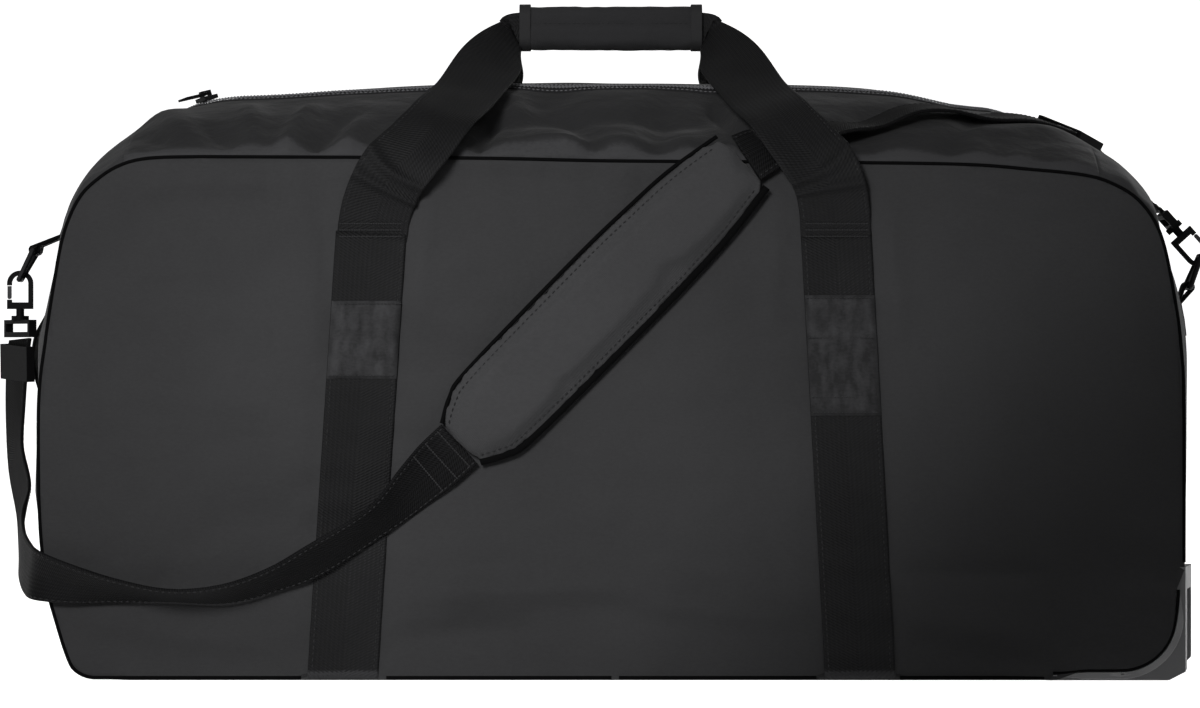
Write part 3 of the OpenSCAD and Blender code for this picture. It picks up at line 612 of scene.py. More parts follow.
ring = ring_mesh()
skin = BVHTree.FromBMesh(ring)
for cut in (lambda p: stadium(p.x, p.y) if p.z > UPPER_Z else 50.0,
            lambda p: p.x - END_SEAM_X if p.z > UPPER_Z else 50.0,
            lambda p: p.x + END_SEAM_X if p.z > UPPER_Z else 50.0,
            lambda p: p.x - BASE_X[0], lambda p: p.x - BASE_X[1],
            lambda p: p.y - MIDDLE_Y,
            lambda p: p.x - GUARD_LO.x if p.z < 120 else -50.0,
            lambda p: p.z - GUARD_HI.z if p.x > 200 else -50.0,
            lambda p: p.y - GUARD_HI.y, lambda p: p.y + GUARD_HI.y):
    cut_along(ring, cut)
for name, node, material, keep in (
        ("left_end", "left_end_panel", BODY, lambda c: c.x < 0 and on_end(c)),
        ("right_end", "right_end_panel", BODY, lambda c: c.x > 0 and on_end(c)),
        ("gusset_front", "top_gusset_front", TOP, lambda c: c.y < MIDDLE_Y and on_gusset(c)),
        ("gusset_rear", "top_gusset_rear", TOP, lambda c: c.y >= MIDDLE_Y and on_gusset(c)),
        ("base", "base_panel", BASE, lambda c: on_base(c) and not in_guard(*c))):
    slot = "base_fabric" if name == "base" else "body_fabric"
    piece(shell(ring, f"{name}_cloth", keep, material), "bag", slot, node)
lid = shell(ring, "lid_cloth", on_lid, TOP)
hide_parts("lid_panel")


def lip_edge(p):
    """Signed distance above the moulded lip's upper edge, near the wheel end's bottom corner."""
    if p.x < GUARD_LO.x or p.z > GUARD_HI.z:
        return 50.0
    if p.x < FACE_X - HEEL_R:
        return p.z - 6.5 * ease((p.x - GUARD_LO.x) / 25) + 0.01
    if p.z < HEEL_R:
        return HEEL_R - 6.5 - math.hypot(p.x - FACE_X + HEEL_R, p.z - HEEL_R) + 0.01
    return FACE_X - 6.5 * ease((GUARD_HI.z - p.z) / 20) - p.x + 0.01


def face_panel(side, where):
    """A face panel: a grid cut to the face's outline, with its bulge and folds."""
    xs = np.linspace(-FACE_X - STEP, FACE_X + STEP, round(2 * FACE_X / STEP) + 3)
    zs = np.linspace(-STEP, 370 + STEP, round(370 / STEP) + 3)
    bm = bmesh.new()
    verts = [bm.verts.new((x, side * FACE_Y, z)) for z in zs for x in xs]
    for corners in sheet_faces(len(zs) - 1, len(xs) - 1):
        bm.faces.new([verts[i] for i in corners])
    ax, az = FACE.T
    bx, bz = np.roll(FACE, -1, axis=0).T
    dx, dz = bx - ax, bz - az

    def inside(p):
        """Signed distance to the outline, positive inside."""
        t = np.clip(((p.x - ax) * dx + (p.z - az) * dz) / (dx * dx + dz * dz), 0, 1)
        near = np.min(np.hypot(ax + t * dx - p.x, az + t * dz - p.z))
        level = ax + dx * (p.z - az) / np.where(dz == 0, 1, dz)
        return near if np.sum(((az > p.z) != (bz > p.z)) & (p.x < level)) % 2 else -near

    cut_along(bm, inside)
    cut_along(bm, lip_edge)
    for v in bm.verts:
        lipped = v.co.x > GUARD_LO.x and v.co.z < GUARD_HI.z
        edge = 1.0 if lipped else ease(max(0, inside(v.co)) / 10)
        v.co.y = side * (FACE_Y + face_bulge(v.co.x, v.co.z) * edge)
    if side > 0:
        bmesh.ops.reverse_faces(bm, faces=bm.faces)
    obj = shell(bm, f"{where}_panel_cloth", lambda c: inside(c) > 0 and lip_edge(c) > 0, BODY)
    piece(obj, "bag", "body_fabric", f"{where}_panel")
    bm.free()


for side, where in FACES:
    face_panel(side, where)


def skin_at(x, y, lift=0.0):
    """Point and normal of the top skin over (x, y), lifted off it along the normal."""
    hit, normal, _, _ = skin.ray_cast(Vector((x, y, 900)), Vector((0, 0, -1)))
    return np.array(hit + normal * lift), np.array(normal)


def end_at(side, y, z, lift=0.0):
    """Point on an end's skin at (y, z), lifted off it along the normal."""
    hit, normal, _, _ = skin.ray_cast(Vector((900 * side, y, z)), Vector((-side, 0, 0)))
    return np.array(hit + normal * lift)


def face_point(side, x, z, lift=0.0):
    """Point on a face panel, lifted off it."""
    return np.array((x, side * (FACE_Y + face_bulge(x, z) + lift), z))


# ---- tubes, bands and stitches ----
def tube(name, path, radius, material, sides=10):
    """A round tube along a path of points."""
    p = np.array(path)
    verts = []
    up = np.array((0.0, 1.0, 0.0))
    for i in range(len(p)):
        d = unit(p[min(i + 1, len(p) - 1)] - p[max(i - 1, 0)])
        a = unit(up - d * (up @ d)) if abs(up @ d) < 0.95 else unit(np.cross(d, (1.0, 0, 0)))
        b = np.cross(d, a)
        verts += [p[i] + radius * (a * x + b * y) for x, y in arc(0, 0, 1, 0, 360, sides)[:-1]]
    return outward(mesh_object(name, verts, swept_faces(len(p), sides), material))


def both_faces(half):
    """A band's closed section from its upper half, left to right, in halves of its width and thickness."""
    return half + [(-s, -t) for s, t in half]


BAND_SECTION = both_faces([(-1, 0), (-0.985, 0.75), (-0.94, 1)] + [(s / 10, 1) for s in range(-8, 9, 2)]
                          + [(0.94, 1), (0.985, 0.75)])


def frames(path, across):
    """Points of a band with their along, across and square directions; across is one for each or for all."""
    p = np.array(path, float)
    out = []
    for i, a in enumerate(np.broadcast_to(np.array(across, float), p.shape)):
        d = unit(p[min(i + 1, len(p) - 1)] - p[max(i - 1, 0)])
        a = unit(a - d * (a @ d))
        out.append((d, a, np.cross(d, a)))
    return p, out


def band(name, path, across, width, thick, material, section=BAND_SECTION, shape=None):
    """Webbing swept along a path; shape(s, v) adds millimetres square to the band, s across and v along."""
    p, f = frames(path, across)
    width, thick = np.broadcast_to(width, len(p)), np.broadcast_to(thick, len(p))
    along = distances(p)
    verts, uvs = [], []
    for i, (_, a, n) in enumerate(f):
        for s, t in section:
            push = shape(s, along[i]) if shape else 0.0
            verts.append(p[i] + a * s * width[i] / 2 + n * (t * thick[i] / 2 + push))
            uvs.append((s * width[i] / 2, along[i]))
    return outward(mesh_object(name, verts, swept_faces(len(p), len(section)), material, uvs))


def band_edges(path, across, width, inset, lift):
    """The two lines along a band where it is sewn, inset from its edges and lifted off one face."""
    p, f = frames(path, across)
    width = np.broadcast_to(width, len(p))
    return [[q + side * a * (w / 2 - inset) + n * lift for q, (_, a, n), w in zip(p, f, width)]
            for side in (-1, 1)]


def route(rows, m):
    """Path and width directions of a band, through the listed rows."""
    return (smooth([r[k] for r in rows], m) for k in (0, 1))


def webbing(node, path, across, width, material, thick=WEB_T):
    """A band that stands for a webbing node of the bag."""
    piece(band(f"{node}_web", path, across, width, thick, material), "bag", "webbing", node)


def along_path(points, pitch):
    """Evenly spaced points on a polyline, with the direction at each."""
    p, at = np.array(points, float), distances(points)
    for s in np.arange(pitch / 2, at[-1], pitch):
        i = min(int(np.searchsorted(at, s, side="right")) - 1, len(p) - 2)
        t = (s - at[i]) / (at[i + 1] - at[i])
        yield p[i] + (p[i + 1] - p[i]) * t, unit(p[i + 1] - p[i])


def stitches(name, runs, body, slot, pitch=4.4, length=3.2, thick=0.55, material=THREAD):
    """Rows of stitches, each a small spindle of thread along its run."""
    verts, faces = [], []
    for run in runs:
        for p, d in along_path(run, pitch):
            a = unit(np.cross(d, (0.31, 0.52, 0.8)))
            b = np.cross(d, a)
            base = len(verts)
            verts += [p - d * length / 2, p + d * length / 2]
            verts += [p + q * thick for q in (a, b, -a, -b)]
            for k in range(4):
                q, r = base + 2 + k, base + 2 + (k + 1) % 4
                faces += [(base, r, q), (base + 1, q, r)]
    piece(outward(mesh_object(name, verts, faces, material, flat=True)), body, slot)


# ---- piping round the face panels ----
def piping(side, where):
    """Piping cord along the face's outline, open at the wheel housing and under the load straps."""
    def open_at(x, z):
        return (x > GUARD_LO.x - 1 and z < GUARD_HI.z + 1) or \
            (z < 4 and any(abs(x - foot) < HAUL_W / 2 + 1 for foot, _ in LOAD_X.values()))
    runs = [[]]
    for x, z in FACE:
        if not open_at(x, z):
            runs[-1].append((x, side * (FACE_Y - 0.3), max(z, 1.7)))
        elif runs[-1]:
            runs.append([])
    parts = [tube("part", run, 1.3, PIPING_AND_SHADOW) for run in runs if len(run) > 2]
    piece(join(parts, f"piping_{where}_cord"), "bag", "piping", f"piping_{where}")


for side, where in FACES:
    piping(side, where)


# ---- zip ----
def lid_track(grow):
    """The zip's course in plan, from the rear left round the front to the rear right."""
    left, right, r, stop = LID_X[0] + LID_R, LID_X[1] - LID_R, LID_R + grow, 86
    return (arc(left, MIDDLE_Y, r, stop, 270, 60)
            + line((left, MIDDLE_Y - r), (right, MIDDLE_Y - r), 90)[1:-1]
            + arc(right, MIDDLE_Y, r, -90, 180 - stop, 60))


def zip_tape(body, inner, outer):
    """A woven tape on the skin between two grown courses."""
    cols = 4
    rows = list(zip(*(lid_track(inner + (outer - inner) * k / cols) for k in range(cols + 1))))
    verts = [skin_at(*q, 0.75)[0] for row in rows for q in row]
    uvs = [(k * 2.5, i * STEP) for i in range(len(rows)) for k in range(cols + 1)]
    obj = mesh_object(f"zip_tape_{body}_woven", verts, sheet_faces(len(rows) - 1, cols), TAPE, uvs)
    thicken(outward(obj, sheet=True), 0.9)
    piece(obj, body, "zip_tape", f"zip_tape_{body}")


zip_tape("bag", 0.6, 10.5)
zip_tape("lid", -10.5, -0.6)
for row, grow, lift, pitch, length, thick in (("coil", 1.5, 1.7, 2.6, 3.0, 1.15),
                                              ("stitch", 8.6, 1.2, 3.4, 2.8, 0.5)):
    for body, way in (("bag", 1), ("lid", -1)):
        stitches(f"zip_{row}_{body}", [[skin_at(x, y, lift)[0] for x, y in lid_track(way * grow)]], body,
                 "zip_tape", pitch, length, thick, COIL)


# ---- load straps and their facings ----
def load_strap(side):
    """One load strap: up the front face, under the base and up the rear."""
    climb = [(strap_x(side, z), z) for z in np.arange(4, TACK_Z + 10.1, 6.0)]
    foot = LOAD_X[side][0]
    turn = [(foot, -(FACE_Y - 0.4), 1.9), (foot, -(FACE_Y - 4), 1.3)]
    path = [face_point(-1, x, z, 0.9) for x, z in reversed(climb)] + turn
    path += [(foot, y, 1.25) for y in np.arange(-FACE_Y + 12, FACE_Y - 11, 12)]
    path += [(x, -y, z) for x, y, z in reversed(turn)] + [face_point(1, x, z, 0.9) for x, z in climb]
    webbing(f"load_strap_{side}", path, (1, 0, 0), HAUL_W, WEB)
    runs = [[face_point(face, strap_x(side, z) + edge, z, 2.3) for z in np.arange(8, TACK_Z, 6.0)]
            for face in (-1, 1) for edge in (3.2 - HAUL_W / 2, HAUL_W / 2 - 3.2)]
    stitches(f"load_strap_{side}_stitches", runs, "bag", "webbing")


def facing(face, side, where, z0, z1, bars):
    """Fabric facing over the upper part of a load strap, loosely puckered between its edges."""
    cols, rows = 12, max(6, round((z1 - z0) / 3.0))
    verts = []
    for z in np.linspace(z0, z1, rows + 1):
        for s in np.linspace(-1, 1, cols + 1):
            x = strap_x(side, z) + s * (HAUL_W / 2 - 0.4)
            rim = ease((1 - abs(s)) / 0.25) * ease(min(z - z0, z1 - z) / 6)
            pucker = 1.6 + 2.2 * wobble(x, face * 50, 0.7 * z, 16, 7) + 1.3 * wobble(x, face * 50, z, 8, 9)
            verts.append((x, face_point(face, strap_x(side, z), z, 2.5 + rim * pucker)[1], z))
    faces = [f[::-face] for f in sheet_faces(rows, cols)]
    obj = mesh_object(f"facing_{where}_{side}_cloth", verts, faces, FACING, [(x, z) for x, _, z in verts])
    thicken(obj, 0.9)
    piece(obj, "bag", "facing", f"facing_{where}_{side}")
    runs = [[face_point(face, strap_x(side, z) + dx, z, 4.0) for dx in np.linspace(-24, 24, 13)]
            for z in bars]
    stitches(f"facing_{where}_{side}_stitches", runs, "bag", "facing", 2.6, 2.4, 0.6)


FACINGS = {"left": (213, 268, (215, 266)), "right": (187, 272, (189, 200, 242, 270))}
for side in LOAD_X:
    load_strap(side)
    for face, where in FACES:
        facing(face, side, where, *FACINGS[side])


# ---- haul handles ----
HANDLE_ROWS = [
    ((-163, -204.8, 312), (1, 0, 0), 50), ((-160, -207.8, 336), (1, 0, 0), 50),
    ((-152, -212.8, 358), (1, 0, -0.1), 50), ((-135, -206.8, 379), (1, -0.12, -0.3), 50),
    ((-118, -185, 401), (0.95, -0.36, -0.35), 50), ((-102, -122, 422), (0.87, -0.44, -0.25), 50),
    ((-87, -60, 447), (0.8, -0.5, -0.6), 46), ((-75, -17, 466), (0.4, -0.3, -1), 26),
    ((-66.5, -9.2, 473), (0, 0, -1), 22), ((0, -9.2, 473), (0, 0, -1), 22),
]


def haul_handle(side, where):
    """A haul handle: from one tack up over the seam, through the grip and down to the other."""
    name, body = f"{where}_handle_web", f"{where}_handle"
    half, across = route(HANDLE_ROWS, 14)
    width = [float(w) for w in smooth([[r[2]] for r in HANDLE_ROWS], 14)]
    half = [p + (0, 3.0 * (1 - ease(i / 18)), 0) for i, p in enumerate(half)]
    # the ends are shifted a little, to the middles of the load straps
    foot = [1 - ease((p[2] - 310) / 80) for p in half]
    path = [p - (6 * k, 0, 0) for p, k in zip(half, foot)]
    path += [(p + (4 * k, 0, 0)) * (-1, 1, 1) for p, k in zip(half[-2::-1], foot[-2::-1])]
    across += [a * (1, -1, -1) for a in across[-2::-1]]
    width += width[-2::-1]
    if side > 0:
        path = [np.array((p[0], -min(p[1], -3.8), p[2])) for p in path]
        across = [a * (1, -1, 1) for a in across]
    total = distances(path)[-1]

    def shape(s, v):
        """A slight wave, two creases where each leg bends over the seam, and a lifted inner edge."""
        near = min(v, total - v)
        leg = 1 if v < total / 2 else -1
        crease = 3.2 * math.exp(-((near - 38 + 2 * s) / 3.2) ** 2)
        crease += 3.8 * math.exp(-((near - 50 - 5 * s * s) / 3.6) ** 2)
        lifted = 4.0 * ease(leg * s) * ease((near - 50) / 20) * ease((150 - near) / 60)
        return 0.35 * math.sin(v / 9.0 + s) * (1 - s * s) + side * leg * (crease + lifted)

    piece(band(name, path, across, width, WEB_T, WEB, shape=shape), body, "webbing", f"{body}_webbing")
    runs = []
    for part in (slice(9, 66), slice(len(path) - 66, len(path) - 9)):
        for lift in (-1.35 * side, 1.35 * side):
            runs += band_edges(path[part], across[part], width[part], 3.0, lift)
    stitches(name + "_stitches", runs, body, "webbing")
    bars = [[(strap_x(leg, TACK_Z) + dx, side * (FACE_Y + 3.7 + 0.17 * (z - 310)), z)
             for dx in np.linspace(-22, 22, 12)] for leg in LOAD_X for z in (313.5, 318, 322.5)]
    stitches(name + "_tack_bars", bars, body, "webbing", 1.7, 2.4, 0.8)


for side, where in FACES:
    haul_handle(side, where)


# ---- wrap grip ----
def grip():
    """Padded sleeve round both handles, open along its rear, with bound ends and a flap's edge."""
    centre, half = (GRIP_LO + GRIP_HI) / 2, (GRIP_HI - GRIP_LO) / 2
    lip, r = 12.0, 8.0
    outer = []
    for ky, kz, start in ((1, 1, 0), (-1, 1, 90), (-1, -1, 180), (1, -1, 270)):
        outer += arc(ky * (half.y - r), kz * (half.z - r), r, start, start + 90, 7)
    dense = []
    for a, b in zip(outer, outer[1:] + outer[:1]):
        dense += line(a, b, max(1, round(math.dist(a, b) / 2.6)))[:-1]
    start = min(range(len(dense)), key=lambda i: abs(dense[i][1] - lip) + 50 * (dense[i][0] < 0))
    walk = [q for q in dense[start:] + dense[:start] if not (q[0] > half.y - 0.5 and abs(q[1]) < lip)]
    rows = 56
    verts = []
    for x in np.linspace(-half.x, half.x, rows + 1):
        end = ease((half.x - abs(x)) / 9)
        for y, z in walk:
            dy, dz = unit((y, z))
            swell = end * (1.0 + 0.6 * wobble(x, 3 * y, 3 * z, 22, 3)) + 0.45 * wobble(x, y, z, 8, 5) - 1.4
            swell += 1.3 if z < -1.4 and y < 0 else 0.0
            verts.append((x, centre.y + y + dy * swell, centre.z + z + dz * swell))
    obj = mesh_object("handle_grip_sleeve", verts, sheet_faces(rows, len(walk) - 1), GRIP)
    thicken(outward(obj, sheet=True), 2.6)
    modifier(obj, "SUBSURF", levels=1, render_levels=1)
    piece(obj, "front_handle", "grip", "handle_grip")
    for side, name in ((-1, "left"), (1, "right")):
        rim = [(side * (half.x - 2.4), centre.y + y * 1.015, centre.z + z * 1.015) for y, z in walk]
        piece(band(f"grip_binding_{name}", rim, (1, 0, 0), 8.5, 2.0, BINDING), "front_handle", "grip")
    rows = [[(x, GRIP_LO.y + dy, centre.z + dz) for x in np.linspace(-58, 58, 30)]
            for dy, dz in ((-0.1, -4.6), (0.1, 2.8))]
    stitches("grip_flap_stitches", rows, "front_handle", "grip", 3.6, 2.8, 0.5)


grip()


# ---- shoulder strap ----
LEFT_ROWS = [
    ((-439.3, 0, 241.4), (-0.5, 0.87, 0)), ((-441, -2, 226), (-0.5, 0.87, 0)),
    ((-442, -6, 194), (-0.45, 0.87, -0.1)),
    ((-440, -22, 154), (-0.35, 0.85, -0.35)), ((-430, -60, 122), (-0.3, 0.7, -0.6)),
    ((-427, -104, 100), (-0.1, 0.45, -0.88)), ((-422, -148, 87), (-0.1, 0.25, -0.95)),
    ((-414, -188, 79), (-0.1, 0.15, -1)), ((-405, -213, 75), (-0.1, 0.35, -0.93)),
    ((-385, -221, 70), (0, 0.6, -0.8)), ((-350, -226, 65), (0, 0.88, -0.47)),
    ((-310, -228, 61), (0, 0.97, -0.25)), ((-272, -228, 62), (0.06, 0.93, -0.36)),
    ((-238, -226, 72), (0.16, 0.89, -0.42)), ((-208, -225, 86), (0.32, 0.8, -0.5)),
    ((-164, -222, 114), (0.37, 0.8, -0.42)), ((-137, -216, 139), (0.56, 0.5, -0.6)),
    ((-120, -212, 155), (0.65, 0.1, -0.75)), ((-107, -211, 167), (0.68, 0, -0.73)),
]
PAD_ROWS = [
    ((-106, -211, 168), (-0.7, 0, 0.72), 40), ((-94, -211, 180), (-0.7, 0, 0.73), 54),
    ((-76, -211, 198), (-0.68, 0, 0.73), 62), ((0, -210.5, 275), (-0.62, 0, 0.78), 64),
    ((36, -210, 311), (-0.66, 0, 0.75), 62), ((62, -209.5, 337), (-0.7, 0, 0.7), 58),
    ((92, -208, 366), (-0.68, 0.1, 0.74), 46),
]
RIGHT_START = [((95, -207.3, 369), (-0.7, 0.1, 0.72)), ((108, -201, 375.6), (-0.6, 0.45, 0.75))]
# Where the strap lies on the top: x, y, lift off the skin, direction of the width in plan
RIGHT_LAY = [(123, -190, 4.6, -0.5, 0.87), (142, -179, 4, -0.48, 0.88), (162, -168, 4.2, -0.45, 0.9),
             (186, -155, 6, -0.4, 0.92), (214, -141, 7.5, -0.36, 0.93), (240, -131, 7.5, -0.34, 0.94),
             (268, -121, 6, -0.38, 0.93), (296, -107, 5, -0.52, 0.85), (322, -86, 4.6, -0.66, 0.75),
             (346, -60, 4.6, -0.7, 0.7), (366, -32, 5, -0.55, 0.83), (386, -4, 8.5, -0.1, 1)]
RIGHT_END = [((408.6, 0, 336.3), (0, 1, 0))]
SLIDER_LAY = (334, -73.4)


def cad_skin(x, y):
    """Height of the plain CAD skin over (x, y), which the laid strap's solid follows."""
    rise = CREST_Z - SEAM_Z
    dome_r = (FACE_Y ** 2 + rise ** 2) / (2 * rise)
    return min(CROWN_Z + math.sqrt(CROWN_R ** 2 - x * x), CREST_Z - dome_r + math.sqrt(dome_r ** 2 - y * y))


def right_rows():
    """Rows of the strap's right-hand part, laid over the shoulder."""
    rows = []
    for x, y, lift, ax, ay in RIGHT_LAY:
        # the first rows keep to the plain skin, as the solid strap does
        height = (lambda a, b: skin_at(a, b)[0][2]) if x > 170 else cad_skin
        rise = (height(x + 14 * ax, y + 14 * ay) - height(x - 14 * ax, y - 14 * ay)) / 28
        settled = 1 - 0.6 * ease((x - 230) / 60) * ease((395 - x) / 40)
        tilt = rise * (0.4 + 0.6 * ease((x - 250) / 60))
        rows.append(((x, y, height(x, y) + lift * settled), (ax, ay, tilt)))
    return RIGHT_START + rows + RIGHT_END


def strap_part(side, rows):
    """One part of the shoulder strap, with stitches along its edges on both faces."""
    path, across = route(rows, 5)
    webbing(f"shoulder_strap_{side}", path, across, STRAP_W, STRAP)
    runs = [run for lift in (1.3, -1.3) for run in band_edges(path, across, STRAP_W, 2.6, lift)]
    stitches(f"shoulder_strap_{side}_stitches", runs, "bag", "webbing")


strap_part("left", LEFT_ROWS)
strap_part("right", right_rows())


def box(verts, faces, centre, axes, size):
    """Adds a box with its middle at centre, along three axes."""
    base = len(verts)
    for i in range(8):
        verts.append(centre + sum(axis * s * (1 if i >> k & 1 else -1) / 2
                                  for k, (axis, s) in enumerate(zip(axes, size))))
    for f in ((0, 2, 3, 1), (4, 5, 7, 6), (0, 1, 5, 4), (2, 6, 7, 3), (0, 4, 6, 2), (1, 3, 7, 5)):
        faces.append(tuple(base + i for i in f))


def laid_slider():
    """Three-bar slider that the right-hand strap is threaded through, lying on the top."""
    x, y = SLIDER_LAY
    at, normal = skin_at(x, y, 2.2)
    d = unit(skin_at(x + 9, y + 9, 3.4)[0] - skin_at(x - 9, y - 9, 3.4)[0])
    a = unit(np.cross(normal, d))
    n = np.cross(d, a)
    verts, faces = [], []
    for k in (-1, 1):
        box(verts, faces, at + a * k * 21.6, (d, a, n), (26, 4.6, 6.4))
    for along, up in ((-11, 2.5), (0, -2.5), (11, 2.5)):
        box(verts, faces, at + d * along + n * up, (d, a, n), (4.2, 44, 1.8))
    obj = outward(mesh_object("strap_slider_right_frame", verts, faces, HARDWARE, flat=True))
    modifier(obj, "BEVEL", width=0.6 * MM, segments=2, limit_method="ANGLE")
    piece(obj, "bag", "hardware", "strap_slider_right")


laid_slider()


# ---- shoulder pad ----
SIM_FRAMES = 20       # length of the pad's cloth simulation
PAD_SECTION = both_faces([
    (-1, 0), (-0.98, 0.35), (-0.93, 0.55), (-0.84, 0.78), (-0.68, 0.93), (-0.45, 1), (-0.2, 1.05),
    (0.0, 1.06), (0.2, 1.05), (0.45, 1), (0.68, 0.93), (0.84, 0.78), (0.93, 0.55), (0.98, 0.35)])


def simulate(obj, pressure, cap, seams):
    """Blows a closed piece up as cloth, holds each point within cap of where it began and the points by its
    seams where they were, and keeps the result."""
    scene = bpy.context.scene
    remesh = modifier(obj, "REMESH", mode="VOXEL", voxel_size=0.004)
    bpy.context.view_layer.objects.active = obj
    bpy.ops.object.modifier_apply(modifier=remesh.name)
    before = np.array([v.co for v in obj.data.vertices])
    cloth = obj.modifiers.new("Cloth", "CLOTH")
    for key, value in (("quality", 5), ("mass", 0.3), ("tension_stiffness", 12),
                       ("compression_stiffness", 12), ("shear_stiffness", 5), ("bending_stiffness", 0.6),
                       ("use_pressure", True), ("uniform_pressure_force", pressure), ("shrink_min", -0.03)):
        setattr(cloth.settings, key, value)
    cloth.settings.effector_weights.gravity = 0.0
    cloth.collision_settings.use_collision = False
    for f in range(1, SIM_FRAMES + 1):
        scene.frame_set(f)
    result = obj.evaluated_get(bpy.context.evaluated_depsgraph_get()).data
    move = np.array([v.co for v in result.vertices]) - before
    scene.frame_set(1)
    obj.modifiers.remove(cloth)
    size = np.linalg.norm(move, axis=1, keepdims=True)
    seam = np.concatenate([np.array(q) for q in seams]) * MM
    near = np.array([np.min(np.linalg.norm(seam - p, axis=1)) for p in before]) / MM
    free = np.array([ease((d - 4) / 10) for d in near])[:, None]
    held = before + free * move * np.minimum(1, cap * MM / np.maximum(size, 1e-9))
    obj.data.vertices.foreach_set("co", held.astype(np.float32).ravel())
    obj.data.update()


def shoulder_pad():
    """Foam pad in a sewn cover: a crowned body, its near-black binding that also paints shadow along its
    edges, and its rows of stitches.
    """
    path, across = route(PAD_ROWS, 8)
    width = [float(w) + 6 * ease(i / 12) for i, w in enumerate(smooth([[r[2]] for r in PAD_ROWS], 8))]
    n = len(path)
    thick = [6 + 2.4 * ease(min(i, n - 1 - i) / 5) for i in range(n)]
    obj = band("shoulder_pad_cover", path, across, [w - 1.5 for w in width], thick, PAD, PAD_SECTION)
    edges = band_edges(path, across, width, 0.8, 0.0)
    simulate(obj, 3.5, 5.0, edges)
    obj.data.shade_smooth()
    modifier(obj, "SUBSURF", levels=1, render_levels=1)
    piece(obj, "bag", "pad", "shoulder_pad")
    # the near-black binding tubes are real binding, and also painted shadow along the pad's edges, widest at
    # the lower edge
    for edge, name, r in zip(edges, ("lower", "upper"), (2.7, 1.5)):
        piece(tube(f"pad_binding_shadow_{name}", edge, r, PIPING_AND_SHADOW, 8), "bag", "pad")
    middle = (path[2:-2], across[2:-2], width[2:-2])
    runs = [run for lift in (-4.4, 4.4) for run in band_edges(*middle, 6.5, lift)]
    stitches("pad_stitches", runs, "bag", "pad")


shoulder_pad()


def stub_bars():
    """Bar tacks across the end of the strap's left part, by the pad."""
    p, f = frames(*route(LEFT_ROWS, 5))
    for name, lift in (("pad_stub_bars_left", 1.5), ("pad_stub_bars_left_back", -1.5)):
        runs = [[p[i] + f[i][1] * s * STRAP_W / 2 + f[i][2] * lift for s in np.linspace(-0.9, 0.9, 14)]
                for i in (-3, -6, -9)]
        stitches(name, runs, "bag", "webbing", 1.9, 2.4, 0.8)


stub_bars()


# ---- grab handle on the end ----
GRAB_Y, GRAB_Z, GRAB_W = 48, 230, 30     # middle of the handle, and its width
# Height from the middle, and distance off the skin
GRAB_ROWS = [(-58, 1.8), (-42, 2), (-28, 6), (-12, 10.5), (0, 11.5), (12, 10.5), (28, 6.2), (42, 2.6),
             (58, 2.2)]


def grab_handle():
    """Webbing loop on the left end, its two sewn patches and the bars on them."""
    across = (0.05, 1, 0)
    path = smooth([end_at(-1, GRAB_Y, GRAB_Z + dz, off) for dz, off in GRAB_ROWS], 6)
    webbing("grab_handle", path, across, GRAB_W, WEB)
    patches = []
    for dz in (-50, 50):
        rows = [end_at(-1, GRAB_Y, GRAB_Z + dz + q, 3.9) for q in np.linspace(-9, 9, 7)]
        patches.append(band("patch", rows, across, GRAB_W + 8, 1.2, BINDING))
    piece(join(patches, "grab_handle_patches_cloth"), "bag", "webbing", "grab_handle_patches")
    bars = [[end_at(-1, GRAB_Y + dy, GRAB_Z + dz, 4.7) for dy in np.linspace(-14, 14, 9)]
            for dz in (-57, -50, -43, 43, 50, 57)]
    stitches("grab_handle_stitches", bars, "bag", "webbing", 2.2, 2.4, 0.7)


grab_handle()


# ---- ring tabs ----
def ring_tab(side, sewn, bar, start, back):
    """Webbing tab looped round the ring's bar, its two layers sewn flat to the end."""
    turn = [np.array(bar) + (3.4 * math.cos(t), 0, 3.4 * math.sin(t))
            for t in np.radians(np.arange(start, start + 181, 20))]
    webbing(f"ring_tab_{side}", sewn + turn + back, (0, 1, 0), 25, STRAP, 2.0)


ring_tab("left", [end_at(-1, 0, z, lift) for z, lift in ((346, 1.5), (330, 1.6), (318, 2.2))],
         (-427.6, 0, 308), 150, [(-423.4, 0, 311), end_at(-1, 0, 318, 0.6)])
ring_tab("right", [end_at(1, 0, z) + (1.6, 0, 0) for z in (244, 256, 268)],
         (429, 0, 280), -20, [end_at(1, 0, 268) + (0.6, 0, 0)])


# ---- guard rim: the smooth lip that shows under the cloth at the bottom corner, its pale colour a painted highlight ----
def guard_rim(side, where):
    y = side * (FACE_Y + 2.0)
    path = [(x, y, 3.4) for x in np.linspace(GUARD_LO.x + 2, FACE_X - HEEL_R, 12)]
    path += [(x, y, z) for x, z in arc(FACE_X - HEEL_R, HEEL_R + 0.6, HEEL_R - 2.8, -90, 0, 16)]
    path = np.array(path + [(FACE_X - 2.8, y, z) for z in np.linspace(HEEL_R + 4, GUARD_HI.z - 16, 4)])
    n = len(path)
    across = [np.cross(unit(path[min(i + 1, n - 1)] - path[max(i - 1, 0)]), (0, 1, 0)) for i in range(n)]
    width = [0.6 + 4.4 * ease(i / 6) * ease((n - 1 - i) / 6) for i in range(n)]
    piece(band(f"guard_rim_{where}", path, across, width, 3.4, RIM_HIGHLIGHT), "bag", "moulding")
    # near-black cord beside the rim: painted shadow standing for the groove
    groove = [p + unit(a) * (w / 2 + 1.3) for p, a, w in zip(path, across, width)]
    groove = [(p[0], side * (FACE_Y + 3.6), max(p[2], 1.5)) for p in groove]
    piece(tube(f"guard_groove_shadow_{where}", groove, 1.1, PIPING_AND_SHADOW, 8), "bag", "piping")


for side, where in FACES:
    guard_rim(side, where)

